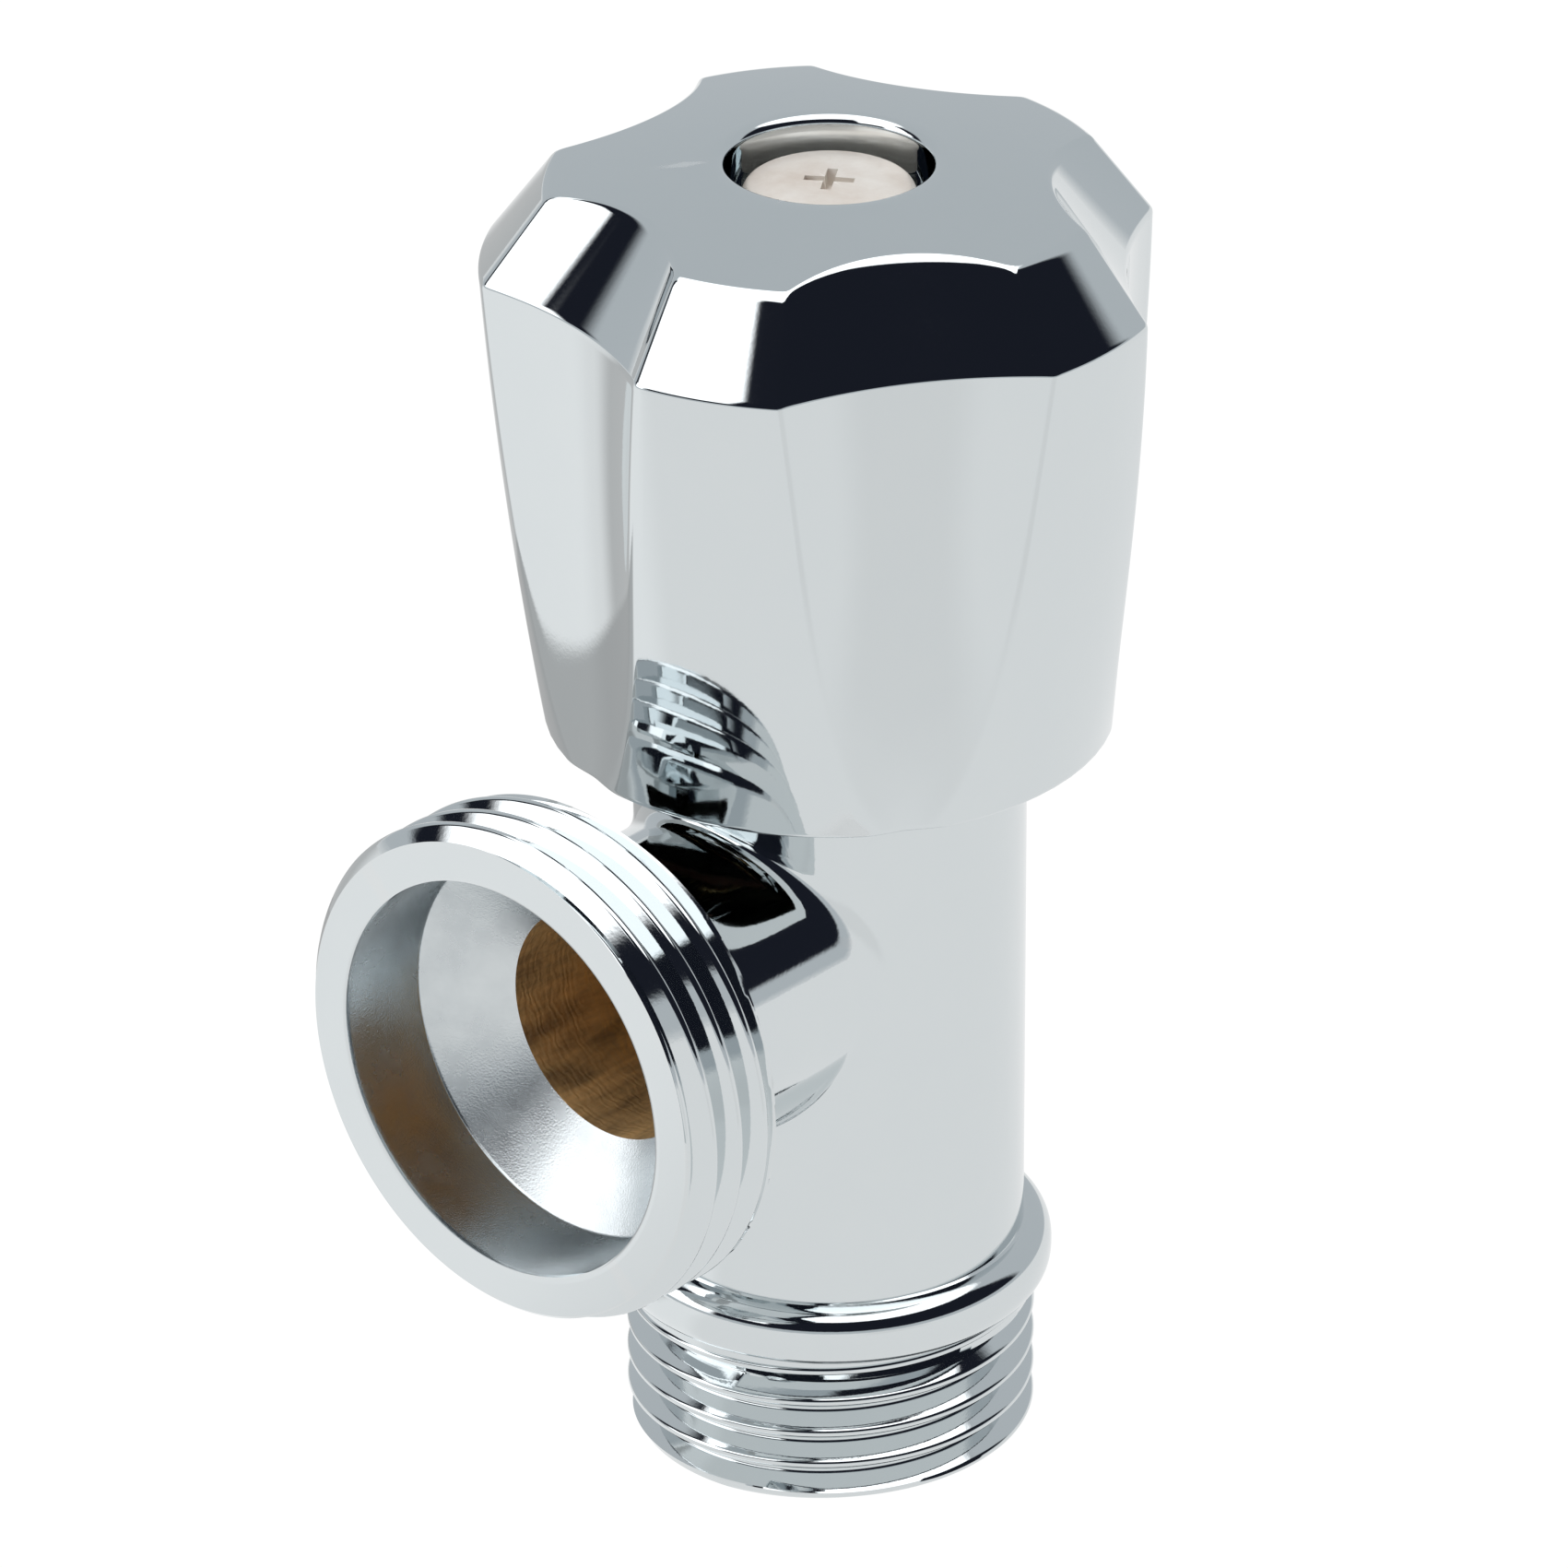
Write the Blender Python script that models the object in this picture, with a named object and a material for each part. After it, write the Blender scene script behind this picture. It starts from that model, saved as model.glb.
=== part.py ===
"""Angle stop valve: a chromed brass body with a threaded inlet below and a threaded outlet in
front, a compression headwork with a non-rising spindle, and a hollow five-lobed handle.

Metres, +Z up along the spindle. The origin is the centre of the inlet's end face, and the
outlet points along -Y. Angles round the spindle start at -Y and grow towards +X.
The valve is drawn shut, with the washer on its seat."""

import math

import bmesh
import bpy

MM = 0.001
TURN = 2 * math.pi
GAP = 0.3 * MM  # left between pieces that touch
OVERRUN = 1.0 * MM  # how far a cutter runs past the face it opens

# Body
BODY_R = 9.91 * MM
BODY_TOP = 44.0 * MM
BODY_CHAMFER = 0.3 * MM
INLET_BORE_R = 6.3 * MM
INLET_BORE_TOP = 18.0 * MM
SEAT_R = 4.4 * MM
SEAT_LIP_R = 5.6 * MM
SEAT_TOP = 21.7 * MM
CHAMBER_FLOOR = 20.5 * MM
CHAMBER_R = 7.6 * MM
CHAMBER_TOP = 36.2 * MM
HEAD_BORE_R = 8.5 * MM

# Pipe threads, drawn as turned rings: G 1/2 on the inlet, G 3/4 on the outlet
PITCH = 1.814 * MM
CREST_FLAT = 0.3 * MM
INLET_CREST_R = 10.478 * MM
INLET_ROOT_R = 9.316 * MM
INLET_RIM_R = 10.05 * MM
INLET_FIRST_CREST = 2.35 * MM
INLET_CRESTS = 4
OUTLET_CREST_R = 13.221 * MM
OUTLET_ROOT_R = 12.059 * MM
OUTLET_FACE_R = 12.6 * MM
OUTLET_FIRST_CREST = 19.5 * MM
OUTLET_CRESTS = 3

# Bead collar between the inlet thread and the body
BEAD_R = 9.73 * MM
BEAD_Z = 9.85 * MM
BEAD_THICK_R = 1.62 * MM
BEAD_STEPS = 7
BEAD_ARC = (-72, 78)  # degrees from level, bottom to top

# Outlet, measured out from the spindle axis
OUTLET_Z = 28.9 * MM
OUTLET_FACE = 24.45 * MM
OUTLET_START = 2.0 * MM  # inside the body
OUTLET_LAND_BACK = 18.1 * MM
NECK_R = 8.2 * MM
NECK_FLARE = 15.6 * MM
OUTLET_BORE_R = 6.1 * MM
OUTLET_CONE_BACK = 16.7 * MM
OUTLET_MOUTH_R = 10.4 * MM
OUTLET_CONE_FRONT = 19.2 * MM

# Head body, screwed into the top of the body
HEAD_BOTTOM = 36.5 * MM
HEAD_THREAD_R = 8.2 * MM
HEAD_GROOVE = (38.0 * MM, 40.0 * MM)
HEAD_GROOVE_R = 7.0 * MM
HEAD_GUIDE_R = 6.3 * MM
HEAD_HEX_BORE = 11.0 * MM
HEAD_HEX_FROM = 42.0 * MM
HEAD_COLLAR_FROM = 46.6 * MM
HEAD_COLLAR_R = 5.6 * MM
HEAD_SHOULDER = 49.4 * MM
HEAD_STEM_R = 4.5 * MM
FLANGE_FROM = BODY_TOP + 1.4 * MM
FLANGE_TOP = 48.4 * MM
FLANGE_AF = 18.6 * MM
HEAD_NECK_R = 6.6 * MM
HEAD_TOP = 55.0 * MM

# Spindle
STEM_R = 4.2 * MM
SPINDLE_THREAD_R = 3.0 * MM
SPINDLE_BOTTOM = 31.9 * MM
COLLAR_R = 5.3 * MM
COLLAR = (46.9 * MM, 48.2 * MM)
STEM_GROOVE_R = 2.8 * MM
STEM_GROOVES = ((50.2 * MM, 51.8 * MM), (52.6 * MM, 54.2 * MM))
CLIP_GROOVE = (55.95 * MM, 57.25 * MM)
CLIP_GROOVE_R = 3.1 * MM
SPLINE_TOP = 63.6 * MM
SPLINE_TEETH = 18
SPLINE_TIP_R = 3.7 * MM
SPLINE_ROOT_R = 3.35 * MM
SCREW_HOLE_R = 2.3 * MM
SCREW_HOLE_BOTTOM = 58.3 * MM

# Plunger and the washer that it carries
PLUNGER_FOOT = 24.7 * MM
PLUNGER_FOOT_TOP = 26.2 * MM
PLUNGER_FOOT_R = 6.4 * MM
PLUNGER_STEM_R = 5.2 * MM
PLUNGER_GUIDE_R = 5.9 * MM
PLUNGER_GUIDE = (34.8 * MM, 38.7 * MM)
PLUNGER_GROOVE = (36.7 * MM, 38.2 * MM)
PLUNGER_GROOVE_R = 4.6 * MM
PLUNGER_HEX = 10.4 * MM
PLUNGER_TOP = 43.3 * MM
PLUNGER_BORE_R = 3.3 * MM
PLUNGER_BORE_BOTTOM = 27.8 * MM
PLUNGER_TAP_R = 1.8 * MM
PLUNGER_TAP_TOP = 26.6 * MM
SEAT_WASHER_R = 6.0 * MM
SEAT_WASHER = (SEAT_TOP + GAP, 24.4 * MM)
PLATE_R = 3.5 * MM
PLATE = (20.9 * MM, SEAT_TOP)
WASHER_SCREW_R = 1.5 * MM
WASHER_SCREW_HEAD_R = 2.8 * MM
WASHER_SCREW_HEAD = (19.2 * MM, 20.6 * MM)
WASHER_SCREW_TOP = 26.3 * MM
WASHER_SCREW_SLOT = (3 * WASHER_SCREW_HEAD_R, 0.8 * MM, 1.2 * MM)

# Handle
LOBES = 5
HANDLE_TURN = math.radians(21.4)  # the middle of one lobe, from -Y towards +X
LOBE_STEPS = 12
HANDLE_BOTTOM = 40.2 * MM
HANDLE_TOP = 70.3 * MM
CAVITY_R = 11.8 * MM
CAVITY_TOP = 64.0 * MM
HUB_R = 8.3 * MM
HUB_BOTTOM = 58.0 * MM
SOCKET_AF = 11.6 * MM
SOCKET_TOP = 64.0 * MM
INSERT_AF = 11.0 * MM
RECESS_R = 5.1 * MM
RECESS_FLOOR = 66.0 * MM
RECESS_LIP = 0.35 * MM
CROWN_R = 80.0 * MM
CROWN_RINGS = (0.76, 0.55)  # shares of the way out to the chamfer
# Height, lobe radius, valley radius and half the valley's angle, up the side of the handle
HANDLE_SECTIONS = (
    (HANDLE_BOTTOM, 14.0 * MM, 13.7 * MM, 8),
    (40.9 * MM, 14.4 * MM, 14.0 * MM, 10),
    (43.3 * MM, 14.8 * MM, 14.2 * MM, 13),
    (48.5 * MM, 15.7 * MM, 14.3 * MM, 18),
    (56.2 * MM, 16.35 * MM, 14.4 * MM, 21),
    (64.75 * MM, 17.25 * MM, 14.6 * MM, 24),
)
CHAMFER_TOP_LOBE = 13.9 * MM
CHAMFER_TOP_VALLEY = 10.8 * MM
CHAMFER_EDGE = 24

# Small pieces
ROUND_STEPS = 36
SMALL_STEPS = 24
RING_STEPS = 6
HANDLE_SCREW_HEAD_R = 4.3 * MM
HANDLE_SCREW_HEAD = (67.3 * MM, 69.2 * MM)
HANDLE_SCREW_R = 2.0 * MM
HANDLE_SCREW_BOTTOM = 58.9 * MM
# Shares of the head's radius and of its height, from its side to its domed top
HANDLE_SCREW_DOME = ((1.0, 0.7), (0.94, 0.88), (0.7, 0.97), (0.3, 1.0))
CROSS_LONG = 3.4 * MM
CROSS_WIDE = 0.8 * MM
CROSS_DEEP = 2.4 * MM  # height of the cutter, half of which is in the head
LOCK_WASHER_R = 3.6 * MM
LOCK_WASHER = (RECESS_FLOOR + GAP, 67.0 * MM)
LOCK_WASHER_SPLIT = math.radians(11)
CLIP_R = 5.6 * MM
CLIP_OPEN = math.radians(70)
SLIP_WASHER_R = 6.2 * MM
SPLINE_FIT = 0.36 * MM  # between the spindle's teeth and the insert's
# Radius of the ring and of its cord
HEAD_O_RING = (7.75 * MM, 0.45 * MM)
SPINDLE_O_RING = (3.6 * MM, 0.5 * MM)
PLUNGER_O_RING = (5.4 * MM, 0.45 * MM)

# Colour (linear), metallic and roughness of each finish
FINISHES = {
    "chrome": ((0.72, 0.74, 0.76), 1.0, 0.07),
    "brass": ((0.62, 0.42, 0.16), 1.0, 0.3),
    "bright_brass": ((0.70, 0.50, 0.22), 1.0, 0.22),
    "steel": ((0.60, 0.60, 0.59), 1.0, 0.3),
    "zinc_steel": ((0.78, 0.76, 0.70), 1.0, 0.35),
    "black_rubber": ((0.02, 0.02, 0.02), 0.0, 0.6),
    "fibre": ((0.42, 0.16, 0.10), 0.0, 0.8),
    "white_acetal": ((0.82, 0.82, 0.80), 0.0, 0.4),
}


def clear_scene():
    for thing in list(bpy.data.objects):
        bpy.data.objects.remove(thing)


def finish(piece, name):
    """Give the piece a material of its own."""
    colour, metallic, roughness = FINISHES[name]
    material = bpy.data.materials.new(piece.name)
    material.use_nodes = True
    shader = material.node_tree.nodes["Principled BSDF"]
    shader.inputs["Base Color"].default_value = (*colour, 1.0)
    shader.inputs["Metallic"].default_value = metallic
    shader.inputs["Roughness"].default_value = roughness
    piece.data.materials.append(material)


# Outlines: each is a function from an angle to a radius


def circle(radius):
    return lambda angle: radius


def hexagon(across_flats):
    sixth = TURN / 6

    def radius(angle):
        from_flat = (angle + sixth / 2) % sixth - sixth / 2
        return across_flats / 2 / math.cos(from_flat)

    return radius


def splined(tip, root):
    """Straight-sided teeth: the radius swings between tip and root."""

    def radius(angle):
        share = (angle * SPLINE_TEETH / TURN) % 1
        return root + (tip - root) * abs(2 * share - 1)

    return radius


def lobed(lobe, valley, half_valley):
    """Round lobes with a hollow arc between each pair, through both corners and the lowest point."""
    edge = math.radians(half_valley)
    centre = (lobe**2 - valley**2) / (2 * (lobe * math.cos(edge) - valley))
    arc = centre - valley
    step = TURN / LOBES

    def radius(angle):
        from_valley = angle % step - step / 2
        if abs(from_valley) >= edge:
            return lobe
        across = centre * math.sin(from_valley)
        return centre * math.cos(from_valley) - math.sqrt(arc**2 - across**2)

    return radius


# Pieces


def new_piece(name, mesh_edit, base):
    """Write the bmesh to a named object whose origin is on the spindle axis at height base."""
    bmesh.ops.recalc_face_normals(mesh_edit, faces=mesh_edit.faces)
    mesh = bpy.data.meshes.new(name)
    mesh_edit.to_mesh(mesh)
    mesh_edit.free()
    mesh.shade_smooth()
    mesh.set_sharp_from_angle(angle=math.radians(30))
    piece = bpy.data.objects.new(name, mesh)
    piece.location.z = base
    bpy.context.collection.objects.link(piece)
    return piece


def loft(name, rings, steps=ROUND_STEPS, closed=True, sweep=TURN):
    """Skin a stack of outlines, each (outline, height). A height may be a function of the radius.
    A closed stack runs down again inside to where it began, and an open one is capped.
    A sweep under a full turn leaves a slot."""
    rings = [(circle(shape) if isinstance(shape, float) else shape, z) for shape, z in rings]
    base = rings[0][1]
    full = sweep >= TURN
    count = steps if full else steps + 1
    mesh_edit = bmesh.new()
    loops = []
    for outline, z in rings:
        loop = []
        for i in range(count):
            angle = sweep * i / steps
            radius = outline(angle)
            height = z(radius) if callable(z) else z
            place = (radius * math.sin(angle), -radius * math.cos(angle), height - base)
            loop.append(mesh_edit.verts.new(place))
        loops.append(loop)
    around = count if full else count - 1
    pairs = list(zip(loops, loops[1:] + loops[:1])) if closed else list(zip(loops, loops[1:]))
    for low, high in pairs:
        for i in range(around):
            j = (i + 1) % count
            mesh_edit.faces.new((low[i], low[j], high[j], high[i]))
    if not closed:
        mesh_edit.faces.new(loops[0])
        mesh_edit.faces.new(loops[-1])
    if not full:
        mesh_edit.faces.new([loop[0] for loop in loops])
        mesh_edit.faces.new([loop[-1] for loop in loops])
    return new_piece(name, mesh_edit, base)


def block(name, size, place):
    """A box cutter centred on a place."""
    mesh_edit = bmesh.new()
    bmesh.ops.create_cube(mesh_edit, size=1)
    bmesh.ops.scale(mesh_edit, vec=size, verts=mesh_edit.verts)
    piece = new_piece(name, mesh_edit, 0)
    piece.location = place
    return piece


def point_to_outlet(piece):
    """Turn a piece made along +Z so that it points along -Y from the spindle axis."""
    start = piece.location.z
    piece.rotation_euler.x = math.pi / 2
    piece.location = (0, -start, OUTLET_Z)


def combine(piece, tool, operation):
    """Join or cut with a hidden tool."""
    tool.hide_render = True
    tool.display_type = "WIRE"
    boolean = piece.modifiers.new(tool.name, "BOOLEAN")
    boolean.operation = operation
    boolean.object = tool
    boolean.solver = "EXACT"


def thread(crest, root, first, count):
    """Crest and root rings of a pipe thread, from its first crest up."""
    rings = []
    for turn in range(count):
        z = first + turn * PITCH
        rings += [(crest, z - CREST_FLAT / 2), (crest, z + CREST_FLAT / 2)]
        if turn < count - 1:
            rings.append((root, z + PITCH / 2))
    return rings


def bead():
    """Rings of the round collar, along its arc."""
    first, last = BEAD_ARC
    rings = []
    for step in range(BEAD_STEPS + 1):
        angle = math.radians(first + (last - first) * step / BEAD_STEPS)
        rings.append((BEAD_R + BEAD_THICK_R * math.cos(angle), BEAD_Z + BEAD_THICK_R * math.sin(angle)))
    return rings


def make_valve_body():
    first = INLET_FIRST_CREST
    rings = [(INLET_RIM_R, 0.0), (INLET_RIM_R + GAP, first - PITCH), (INLET_ROOT_R, first - PITCH / 2)]
    rings += thread(INLET_CREST_R, INLET_ROOT_R, first, INLET_CRESTS)
    rings += bead()
    rings += [(BODY_R, BEAD_Z + BEAD_THICK_R + GAP), (BODY_R, BODY_TOP - BODY_CHAMFER)]
    rings.append((BODY_R - BODY_CHAMFER, BODY_TOP))
    body = loft("valve_body", rings, closed=False)
    combine(body, make_outlet_boss(), "UNION")
    combine(body, make_main_bore(), "DIFFERENCE")
    combine(body, make_outlet_bore(), "DIFFERENCE")
    finish(body, "chrome")


def make_outlet_boss():
    """The neck, its flare, and the threaded ring. It starts inside the body."""
    rings = [(NECK_R, OUTLET_START), (NECK_R, NECK_FLARE), (OUTLET_ROOT_R, OUTLET_LAND_BACK - GAP)]
    rings.append((OUTLET_CREST_R, OUTLET_LAND_BACK + GAP))
    rings += thread(OUTLET_CREST_R, OUTLET_ROOT_R, OUTLET_FIRST_CREST, OUTLET_CRESTS)
    rings.append((OUTLET_FACE_R, OUTLET_FACE))
    boss = loft("outlet_boss", rings, closed=False)
    point_to_outlet(boss)
    return boss


def make_main_bore():
    """Inlet bore, seat with its raised lip, chamber, and the bore for the head body."""
    rings = [
        (INLET_BORE_R, -OVERRUN),
        (INLET_BORE_R, INLET_BORE_TOP),
        (SEAT_R, INLET_BORE_TOP),
        (SEAT_R, SEAT_TOP),
        (SEAT_LIP_R, SEAT_TOP),
        (SEAT_LIP_R, CHAMBER_FLOOR),
        (CHAMBER_R, CHAMBER_FLOOR),
        (CHAMBER_R, CHAMBER_TOP),
        (HEAD_BORE_R, CHAMBER_TOP),
        (HEAD_BORE_R, BODY_TOP + OVERRUN),
    ]
    return loft("main_bore", rings, closed=False)


def make_outlet_bore():
    """The bore from the chamber, its drilled cone, and the wide mouth."""
    rings = [
        (OUTLET_BORE_R, 0.0),
        (OUTLET_BORE_R, OUTLET_CONE_BACK),
        (OUTLET_MOUTH_R, OUTLET_CONE_FRONT),
        (OUTLET_MOUTH_R, OUTLET_FACE + OVERRUN),
    ]
    bore = loft("outlet_bore", rings, closed=False)
    point_to_outlet(bore)
    return bore


def make_head_body():
    flange = hexagon(FLANGE_AF)
    guide = hexagon(HEAD_HEX_BORE)
    groove_from, groove_to = HEAD_GROOVE
    rings = [
        (HEAD_GUIDE_R, HEAD_BOTTOM),
        (HEAD_THREAD_R, HEAD_BOTTOM),
        (HEAD_THREAD_R, groove_from),
        (HEAD_GROOVE_R, groove_from),
        (HEAD_GROOVE_R, groove_to),
        (HEAD_THREAD_R, groove_to),
        (HEAD_THREAD_R, FLANGE_FROM),
        (flange, FLANGE_FROM),
        (flange, FLANGE_TOP),
        (HEAD_NECK_R, FLANGE_TOP),
        (HEAD_NECK_R, HEAD_TOP),
        (HEAD_STEM_R, HEAD_TOP),
        (HEAD_STEM_R, HEAD_SHOULDER),
        (HEAD_COLLAR_R, HEAD_SHOULDER),
        (HEAD_COLLAR_R, HEAD_COLLAR_FROM),
        (guide, HEAD_COLLAR_FROM),
        (guide, HEAD_HEX_FROM),
        (HEAD_GUIDE_R + GAP / 2, HEAD_HEX_FROM),
    ]
    head = loft("head_body", rings)
    finish(head, "brass")


def make_spindle():
    """From the drive thread at the bottom to the splined end, which is tapped for the screw."""
    spline = splined(SPLINE_TIP_R, SPLINE_ROOT_R)
    rings = [
        (SPINDLE_THREAD_R, SPINDLE_BOTTOM),
        (SPINDLE_THREAD_R, COLLAR[0]),
        (COLLAR_R, COLLAR[0]),
        (COLLAR_R, COLLAR[1]),
        (STEM_R, COLLAR[1]),
    ]
    for groove_from, groove_to in STEM_GROOVES:
        rings += [(STEM_R, groove_from), (STEM_GROOVE_R, groove_from)]
        rings += [(STEM_GROOVE_R, groove_to), (STEM_R, groove_to)]
    rings += [
        (STEM_R, CLIP_GROOVE[0]),
        (CLIP_GROOVE_R, CLIP_GROOVE[0]),
        (CLIP_GROOVE_R, CLIP_GROOVE[1]),
        (spline, CLIP_GROOVE[1]),
        (spline, SPLINE_TOP),
        (SCREW_HOLE_R, SPLINE_TOP),
        (SCREW_HOLE_R, SCREW_HOLE_BOTTOM),
    ]
    spindle = loft("spindle", rings, steps=2 * SPLINE_TEETH, closed=False)
    finish(spindle, "bright_brass")
    return spindle


def make_plunger():
    """Foot that holds the washer, guided stem and hexagon, bored for the spindle's thread."""
    drive = hexagon(PLUNGER_HEX)
    rings = [
        (PLUNGER_TAP_R, PLUNGER_TAP_TOP),
        (PLUNGER_TAP_R, PLUNGER_FOOT),
        (PLUNGER_FOOT_R, PLUNGER_FOOT),
        (PLUNGER_FOOT_R, PLUNGER_FOOT_TOP),
        (PLUNGER_STEM_R, PLUNGER_FOOT_TOP),
        (PLUNGER_STEM_R, PLUNGER_GUIDE[0]),
        (PLUNGER_GUIDE_R, PLUNGER_GUIDE[0]),
        (PLUNGER_GUIDE_R, PLUNGER_GROOVE[0]),
        (PLUNGER_GROOVE_R, PLUNGER_GROOVE[0]),
        (PLUNGER_GROOVE_R, PLUNGER_GROOVE[1]),
        (PLUNGER_GUIDE_R, PLUNGER_GROOVE[1]),
        (PLUNGER_GUIDE_R, PLUNGER_GUIDE[1]),
        (drive, PLUNGER_GUIDE[1] + GAP),
        (drive, PLUNGER_TOP),
        (PLUNGER_BORE_R, PLUNGER_TOP),
        (PLUNGER_BORE_R, PLUNGER_BORE_BOTTOM),
    ]
    plunger = loft("plunger", rings, closed=False)
    finish(plunger, "bright_brass")
    return plunger


def washer(name, inner, outer, span, finish_name, steps=SMALL_STEPS, sweep=TURN):
    """A flat ring between two heights."""
    low, high = span
    rings = [(inner, low), (outer, low), (outer, high), (inner, high)]
    piece = loft(name, rings, steps=steps, sweep=sweep)
    finish(piece, finish_name)
    return piece


def o_ring(name, size, z):
    ring_r, cord_r = size
    rings = []
    for step in range(RING_STEPS):
        angle = TURN * step / RING_STEPS
        rings.append((ring_r + cord_r * math.cos(angle), z + cord_r * math.sin(angle)))
    piece = loft(name, rings, steps=SMALL_STEPS)
    finish(piece, "black_rubber")
    return piece


def middle(span):
    return (span[0] + span[1]) / 2


def make_static_seals():
    """Pieces that stay with the body and the head body."""
    flange_gap = (BODY_TOP + GAP, FLANGE_FROM - GAP)
    thrust_gap = (COLLAR[1] + GAP, HEAD_SHOULDER - GAP)
    clip_gap = (HEAD_TOP + GAP, CLIP_GROOVE[0])
    return [
        washer("head_gasket", HEAD_THREAD_R + GAP, BODY_R - GAP, flange_gap, "fibre"),
        o_ring("head_o_ring", HEAD_O_RING, middle(HEAD_GROOVE)),
        washer("thrust_washer", STEM_R + GAP, COLLAR_R, thrust_gap, "white_acetal"),
        washer("clip_washer", STEM_R + GAP, SLIP_WASHER_R, clip_gap, "white_acetal"),
    ]


def make_spindle_fittings():
    """The spindle's seals and the clip that holds it up in the head body."""
    seals = []
    for place, groove in zip(("lower", "upper"), STEM_GROOVES):
        seals.append(o_ring(f"spindle_o_ring_{place}", SPINDLE_O_RING, middle(groove)))
    clip_span = (CLIP_GROOVE[0] + GAP, CLIP_GROOVE[1] - GAP)
    clip = washer("retaining_clip", CLIP_GROOVE_R + GAP, CLIP_R, clip_span, "steel", sweep=TURN - CLIP_OPEN)
    return seals + [clip]


def make_seat_washer_set():
    """The rubber washer, with the plate and the slotted screw that hold it to the plunger."""
    rubber = washer("seat_washer", WASHER_SCREW_R + GAP, SEAT_WASHER_R, SEAT_WASHER, "black_rubber")
    plate = washer("washer_plate", WASHER_SCREW_R + GAP, PLATE_R, PLATE, "bright_brass")
    low, high = WASHER_SCREW_HEAD
    rings = [
        (WASHER_SCREW_HEAD_R - GAP, low),
        (WASHER_SCREW_HEAD_R, low + GAP),
        (WASHER_SCREW_HEAD_R, high),
        (WASHER_SCREW_R, high),
        (WASHER_SCREW_R, WASHER_SCREW_TOP),
    ]
    screw = loft("washer_screw", rings, steps=SMALL_STEPS, closed=False)
    slot = block("washer_screw_slot", WASHER_SCREW_SLOT, (0, 0, low))
    combine(screw, slot, "DIFFERENCE")
    finish(screw, "bright_brass")
    return [rubber, plate, screw]


def crown(radius):
    """Height of the handle's domed top, which meets the recess's rim at HANDLE_TOP."""
    return HANDLE_TOP + (RECESS_R**2 - radius**2) / (2 * CROWN_R)


def make_handle():
    """The lobed shell, its crowned top with the screw's recess, and the hub inside."""
    rings = [(lobed(lobe, valley, edge), z) for z, lobe, valley, edge in HANDLE_SECTIONS]
    rings.append((lobed(CHAMFER_TOP_LOBE, CHAMFER_TOP_VALLEY, CHAMFER_EDGE), crown))
    for share in CROWN_RINGS:
        lobe = RECESS_R + (CHAMFER_TOP_LOBE - RECESS_R) * share
        valley = RECESS_R + (CHAMFER_TOP_VALLEY - RECESS_R) * share
        rings.append((lobed(lobe, valley, CHAMFER_EDGE), crown))
    rings += [
        (RECESS_R + RECESS_LIP, HANDLE_TOP),
        (RECESS_R, HANDLE_TOP - RECESS_LIP),
        (RECESS_R, RECESS_FLOOR),
        (SCREW_HOLE_R, RECESS_FLOOR),
        (SCREW_HOLE_R, SOCKET_TOP),
        (hexagon(SOCKET_AF), SOCKET_TOP),
        (hexagon(SOCKET_AF), HUB_BOTTOM),
        (HUB_R, HUB_BOTTOM),
        (HUB_R, CAVITY_TOP),
        (CAVITY_R, CAVITY_TOP),
        (CAVITY_R, HANDLE_BOTTOM),
    ]
    handle = loft("handle", rings, steps=LOBES * LOBE_STEPS)
    finish(handle, "chrome")
    return handle


def make_spline_insert():
    """Hexagonal plug between the handle's hub and the spindle's teeth."""
    bore = splined(SPLINE_TIP_R + SPLINE_FIT, SPLINE_ROOT_R + SPLINE_FIT)
    outside = hexagon(INSERT_AF)
    low, high = HUB_BOTTOM + GAP, SOCKET_TOP - GAP
    rings = [(bore, low), (outside, low), (outside, high), (bore, high)]
    insert = loft("spline_insert", rings, steps=2 * SPLINE_TEETH)
    finish(insert, "white_acetal")
    return insert


def make_handle_screw():
    """Domed head with a cross recess, and a plain shank."""
    low, high = HANDLE_SCREW_HEAD
    rise = high - low
    rings = [
        (HANDLE_SCREW_R, HANDLE_SCREW_BOTTOM),
        (HANDLE_SCREW_R, low),
        (HANDLE_SCREW_HEAD_R, low),
    ]
    for out, up in HANDLE_SCREW_DOME:
        rings.append((HANDLE_SCREW_HEAD_R * out, low + rise * up))
    screw = loft("handle_screw", rings, steps=SMALL_STEPS, closed=False)
    along_x = (CROSS_LONG, CROSS_WIDE, CROSS_DEEP)
    along_y = (CROSS_WIDE, CROSS_LONG, CROSS_DEEP)
    combine(screw, block("cross_slot_a", along_x, (0, 0, high)), "DIFFERENCE")
    combine(screw, block("cross_slot_b", along_y, (0, 0, high)), "DIFFERENCE")
    finish(screw, "zinc_steel")
    return screw


def make_axis(name, z, pieces):
    """An empty on the spindle axis that carries the pieces of one moving body."""
    axis = bpy.data.objects.new(name, None)
    axis.location.z = z
    bpy.context.collection.objects.link(axis)
    for piece in pieces:
        piece.parent = axis
        piece.location.z -= z


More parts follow.
